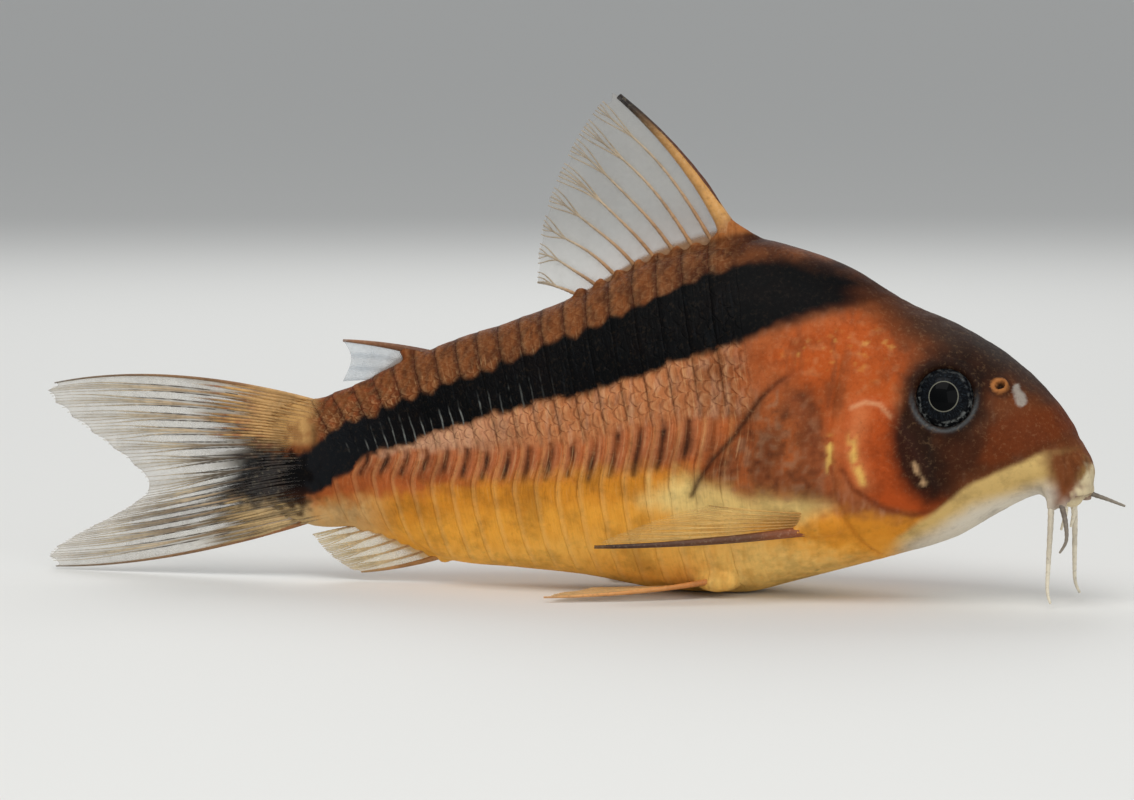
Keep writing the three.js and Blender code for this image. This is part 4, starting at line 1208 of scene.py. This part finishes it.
def spineLines(name, fin, share, flat, folded):
    t = np.linspace(0, fin["spineReach"], raySteps)
    root, middle, tip = tinted(fin["spines"])
    thick = mix(fin["spine"], fin["spine"] * 0.3, t ** 0.9)
    color = mix(mix(root, middle, smooth(0.1, 0.4, t)[:, None]), tip, smooth(0.5, 0.95, t)[:, None])
    path = folded(share, t)
    lines = []
    if name == "dorsal_fin":
        # a flared golden foot, and a dark line along the front edge
        thick = thick + 0.3 * np.exp(-t / 0.1) * smooth(-0.02, 0.05, t)
        color = mix(tones["rust"], root, smooth(0.0, 0.16, t)[:, None])
        color = mix(color, tip, smooth(0.45, 0.9, t)[:, None])
        ahead = flat(0, t) - flat(0.08, t)
        ahead /= np.linalg.norm(ahead, axis=1)[:, None]
        edge = path + ahead * (thick * 0.78)[:, None]
        dark = mix(np.tile(middle, (raySteps, 1)), tip, smooth(0.5, 0.9, t)[:, None])
        slim = thick * 0.5 * smooth(0.1, 0.35, t) + 0.01
        lines.append((edge[5:], slim[5:], dark[5:], np.ones(raySteps - 5), 0.3))
        sunk = np.linspace(1, 0, 6) ** 2
        path[:6, 0] -= 0.5 * sunk
        path[:6, 2] -= 1.1 * sunk
    lines.append((path, thick, color, 1 - 0.4 * smooth(0.85, 1.0, t), 0.15))
    return lines


def rayLines(fin, share, gap, folded, random):
    # a soft ray divides twice
    fork = fin["branch"] * (0.82 + 0.34 * random.random())
    phase = 6.3 * random.random()
    root, tip = tinted(fin["stems"])
    lines = []
    for start, offset in ((0.0, 0.0), (fork, -1.0), (fork, 1.0), (fork * 1.25, -0.5), (fork * 1.25, 0.5)):
        t = np.linspace(start, 0.995, max(int(raySteps * (1 - start)), 6))
        swing = fin["spread"] * gap * offset * smooth(start, min(start + 0.55, 1), t)
        where = np.clip(share + swing + 0.07 * gap * t * np.sin(7 * t + phase), 0, 1)
        thick = mix(fin["stem"], fin["tip"], t ** 0.8)
        if start:
            thick = 0.8 * thick * (0.55 + 0.45 * smooth(start - 0.01, start + 0.12, t))
        fade = 1 - fin["fade"] * smooth(0.6, 1.0, t)
        lines.append((folded(where, t), thick, mix(root, tip, smooth(0, 0.8, t)[:, None]), fade, 1))
    return lines


def tailLines(share, gap, folded):
    # each ray of the tail fin lies between two fine dark lines
    t = np.linspace(0.02, 0.8, raySteps)
    shade = np.tile(tinted([tail["fineLine"]])[0], (raySteps, 1))
    wheres = [np.clip(share + sign * gap * mix(0.16, 0.3, t), 0, 1) for sign in (-1, 1)]
    return [(folded(where, t), 0.045 + 0 * t, shade, 0.9 * smooth(0.82, 0.4, t), 1) for where in wheres]


def tailOverlaps(folded, random):
    # the roots of the tail fin's rays lie on both sides over the end of the flesh
    lines = []
    for i in range(tail["overlaps"]):
        share = (i + 0.5) / tail["overlaps"]
        for face in (-1, 1):
            t = np.linspace(0.0, 0.24 + 0.24 * random.random(), 26)
            run = t / t[-1]
            path = folded(share + 0 * t, t)
            path[:, 0] += 1.6 * random.random() * (1 - run) ** 2
            flank = np.array([flankAt(x, z) if bottomAt(x) < z < topAt(x) else 0.0 for x, _, z in path])
            path[:, 1] = face * (flank + mix(-0.03, 0.03, run))
            color = tailTint(path) * mix(0.55, 1.15, random.random())
            thick = 0.07 * smooth(-0.1, 0.5, run) * smooth(1.1, 0.6, run) + 0.015
            lines.append((path, thick, color, smooth(0.0, 0.4, run) * smooth(1.02, 0.6, run), 0.5))
    return lines


def tailTint(points):
    z = points[:, 2]
    uneven = cloud(points * (0.7, 1, 1.3), 0.42, 4)
    color = np.tile(tones["baseTan"], (len(z), 1))
    color = mix(color, tones["bandGrey"], smooth(4.3, 5.3, z + uneven)[:, None])
    color = mix(color, tones["baseGold"], smooth(7.4, 8.3, z + uneven)[:, None])
    return mix(color, tones["rust"], (0.7 * smooth(0.0, 0.4, uneven) * smooth(7.0, 8.3, z))[:, None])


def webTint(name, fin, share, t):
    root, edge = tinted(fin["web"])
    color = mix(root, edge, smooth(0.0, 0.45, t)[:, None])
    if name == "caudal_fin":
        # the fin's root repeats the gold, black and tan of the tail's end
        color = mix(color, tones["baseGold"], (smooth(0.42, 0.3, share) * smooth(0.3, 0.12, t))[:, None])
        black = 1.5 * bell(share, 0.55, 0.19) * smooth(0.62, 0.2, t)
        color = mix(color, tones["band"], np.clip(black, 0, 1)[:, None])
        low = bell(share, 0.75, 0.1) * smooth(0.2, 0.4, t) * smooth(0.85, 0.5, t)
        color = mix(color, tinted([tail["lowWeb"]])[0], (0.5 * low)[:, None])
    return color


def tailStemTint(points, color):
    # dark rays in the middle and low down, a golden root above
    x, _, z = points.T
    darkRay, lowRay = tinted([tail["darkRay"], tail["lowRay"]])
    middle = bell(z + 0.12 * (x + 27), 6.4, 2.2) * smooth(-37.5, -30.0, x)
    color = mix(color, darkRay, (0.85 * smooth(0.2, 0.8, middle))[:, None])
    low = bell(x, -34.0, 4.0) * bell(z, 3.2, 1.3)
    color = mix(color, lowRay, (0.6 * smooth(0.2, 0.7, low))[:, None])
    return mix(color, tones["baseGold"], (smooth(-30.0, -28.2, x) * smooth(8.6, 9.2, z))[:, None])


def webOpacity(name, fin, share, t):
    # thicker near the rays and the root, clear between them
    near = np.abs(np.cos(share * (fin["rays"] - 1) * math.pi)) ** 6
    clear = fin["alpha"] * (0.75 + 0.5 * near)
    root = fin["rootCover"]
    if name == "caudal_fin":
        root = root * (1.1 + 0.5 * near + 0.2 * np.sin(share * 47) + 0.15 * np.sin(share * 113))
        root = root + 0.14 * bell(share, 0.55, 0.16) * (1 + 0.5 * np.sin(share * 83))
    return np.clip(mix(1.0, clear, smooth(root * 0.5, root, t)) * mix(1.0, 0.75, smooth(0.6, 1.0, t)), 0, 1)


def makeWeb(node, name, fin, reach, folded, across):
    # the membrane, closed, thin and a little scalloped between the ray tips
    gaps = fin["rays"] - 1
    wide, long = webForm["gap"] * gaps + 1, webForm["along"]
    share = np.linspace(0, 1, wide)[:, None]
    scallop = 1.004 - fin["notch"] * np.abs(np.sin(share * gaps * math.pi))
    scallop = scallop * np.interp(share, np.linspace(0, 1, len(reach)), reach)
    if name == "adipose_fin":
        scallop = 1 - 0.12 * np.sin(share * math.pi) - 0.08 * share
    if name in ("dorsal_fin", "pectoral_fin"):
        scallop[0] *= 0.97
    t = np.linspace(0, 1, long)[None, :] * scallop
    shares = share + 0 * t
    sheet = folded(shares, t)
    depth = (webForm["thick"] * (1 - 0.5 * t))[..., None] * across
    layers = [sheet + depth, sheet - depth]
    for layer, low in zip(layers, webForm["low"]):
        layer[..., 2] = np.maximum(layer[..., 2], low)
    points = np.concatenate(layers).reshape(-1, 3)
    half, faces = wide * long, []
    for i in range(wide - 1):
        for j in range(long - 1):
            a, b, c, d = i * long + j, (i + 1) * long + j, (i + 1) * long + j + 1, i * long + j + 1
            faces += [(a, b, c, d), (half + a, half + d, half + c, half + b)]
    rim = [(i * long, (i + 1) * long) for i in range(wide - 1)]
    rim += [((wide - 1) * long + j, (wide - 1) * long + j + 1) for j in range(long - 1)]
    rim += [((i + 1) * long + long - 1, i * long + long - 1) for i in range(wide - 1)]
    rim += [(j + 1, j) for j in range(long - 1)]
    faces += [(b, a, half + a, half + b) for a, b in rim]
    made = meshFrom(node + "Web", bend(points), faces)
    made.validate()
    setFloat(made, "finAlpha", np.tile(webOpacity(name, fin, shares, t).ravel(), 2))
    setColor(made, "finColor", np.tile(webTint(name, fin, shares.ravel(), t.ravel()), (2, 1)))
    shadeSmooth(made)
    made.materials.append(membraneMaterial)
    return made


def makeFin(node, name, side):
    fin = {**finBasics, **fins[name]}
    flat, folded, across = finSurface(fin, side)
    random = np.random.default_rng(fin["seed"])
    gaps = fin["rays"] - 1
    reach = 1 - fin["notch"] * 0.5 * random.random(4 * gaps + 1)
    lines = []
    for i in range(fin["rays"]):
        share = i / gaps
        if i == 0 or (name == "caudal_fin" and i == gaps):
            lines += spineLines(name, fin, share, flat, folded)
        elif name != "adipose_fin":
            lines += rayLines(fin, share, 1 / gaps, folded, random)
            if name == "caudal_fin":
                lines += tailLines(share, 1 / gaps, folded)
    if name == "caudal_fin":
        lines += tailOverlaps(folded, random)
        lines = [(path, thick, tailStemTint(path, color), *rest) for path, thick, color, *rest in lines]
    values = {"Beads": fin["bead"], "Bead Length": fin["beadLength"] * mm, "Sides": 7, "Seed": fin["seed"]}
    grown = growStems(node + "Rays", lines, values, rayMaterial)
    made = objectFrom(node, grown)
    web = objectFrom(node + "Web", makeWeb(node, name, fin, reach, folded, across))
    with bpy.context.temp_override(active_object=made, object=made, selected_objects=[made, web],
                                   selected_editable_objects=[made, web]):
        bpy.ops.object.join()
    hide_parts(node)
    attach(made, "root")


for name in ("dorsal_fin", "caudal_fin", "anal_fin", "adipose_fin"):
    makeFin(name, name, 1)
for name in ("pectoral_fin", "pelvic_fin"):
    for sideName, side in sides.items():
        makeFin(name + "_" + sideName, name, side)
print("fins made")

# Barbels
barbels = {"thick": 0.25, "tip": 0.07, "bead": 0.06, "beadLength": 0.3, "dark": (78, 66, 60),
           "pale": (222, 212, 190)}
barbelPaths = {
    "upper_barbel_right": [(23.0, -2.0, 7.0), (23.2, -2.15, 6.9), (23.55, -2.5, 6.1), (23.9, -2.8, 5.1),
                           (24.0, -3.0, 4.1), (23.6, -3.05, 3.35)],
    "upper_barbel_left": [(23.0, 1.95, 7.0), (23.2, 2.1, 6.9), (23.8, 2.4, 6.45), (24.7, 2.7, 6.1),
                          (25.7, 2.95, 5.7)],
}
for sideName, side in sides.items():
    barbelPaths["lower_barbel_" + sideName] = [
        (22.75, side * 1.95, 7.0), (22.75, side * 2.1, 6.8), (22.8, side * 2.4, 5.0),
        (22.75, side * 2.6, 2.6), (22.75, side * 2.75, 1.0), (23.0, side * 2.9, 0.22)]
    barbelPaths["chin_barbel_" + sideName] = [
        (23.2, side * 0.7, 6.3), (23.2, side * 0.75, 6.0), (23.2, side * 0.85, 5.3),
        (23.0, side * 0.95, 4.5)]
for node, path in barbelPaths.items():
    t = np.linspace(0, len(path) - 1, 60)
    run = t / t[-1]
    thick = np.maximum(mix(barbels["thick"], barbels["tip"], run) * smooth(1.03, 0.97, run), 0.05)
    base, pale = tinted([barbels["dark" if node.startswith("upper") else "pale"], barbels["pale"]])
    color = mix(np.tile(base, (len(t), 1)), pale, (0.3 * run)[:, None])
    line = catmull(np.array(path, float), t)
    values = {"Beads": barbels["bead"], "Bead Length": barbels["beadLength"] * mm, "Sides": 20, "Seed": 2}
    grown = growStems(node, [(line, thick, color, np.ones(len(t)), 1)], values, barbelMaterial)
    made = objectFrom(node + "Skin", grown)
    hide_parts(node)
    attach(made, "root")
print("barbels made")

# The set: a pale floor, soft light from above and behind
studio = {"floor": (0.72, 0.72, 0.7, 1), "sky": (0.86, 0.88, 0.9, 1), "world": 0.5,
          "key": 0.72, "fill": 0.5, "rim": 0.35}
floorMaterial = newMaterial("paleFloor", Roughness=0.75, Base_Color=studio["floor"])[0]
corners = [(-40, -40, -0.0001), (40, -40, -0.0001), (40, 40, -0.0001), (-40, 40, -0.0001)]
ground = objectFrom("paleFloor", meshFrom("paleFloor", corners, [(0, 1, 2, 3)]))
ground.data.materials.append(floorMaterial)


def addLight(name, place, size, power, tint):
    data = bpy.data.lights.new(name, "AREA")
    data.size, data.energy, data.color = size, power, tint
    made = objectFrom(name, data)
    made.location = place
    made.rotation_euler = (Vector((0, 0, 0.01)) - Vector(place)).to_track_quat("-Z", "Y").to_euler()


addLight("key", (-0.02, -0.16, 0.34), 0.26, studio["key"], (1, 0.98, 0.95))
addLight("fill", (0.25, -0.3, 0.12), 0.3, studio["fill"], (0.95, 0.98, 1))
addLight("rim", (-0.08, 0.28, 0.24), 0.22, studio["rim"], (1, 1, 1))
world = bpy.data.worlds.new("softWorld")
world.use_nodes = True
feed(world.node_tree.nodes["Background"], {"Color": studio["sky"], "Strength": studio["world"]})
scene.world = world

view = {"aim": (-8.454, -0.13, 11.628), "azimuth": 12.0, "elevation": 5.0, "distance": 300.0,
        "lens": 152.38}
turnA, turnE = math.radians(view["azimuth"]), math.radians(view["elevation"])
back = Vector((math.sin(turnA) * math.cos(turnE), -math.cos(turnA) * math.cos(turnE), math.sin(turnE)))
cameraData = bpy.data.cameras.new("camera")
cameraData.lens, cameraData.sensor_width, cameraData.clip_start = view["lens"], 36, 0.01
camera = objectFrom("camera", cameraData)
camera.location = (Vector(view["aim"]) + back * view["distance"]) * mm
camera.rotation_euler = (-back).to_track_quat("-Z", "Y").to_euler()
scene.camera = camera
scene.view_settings.view_transform = "Standard"
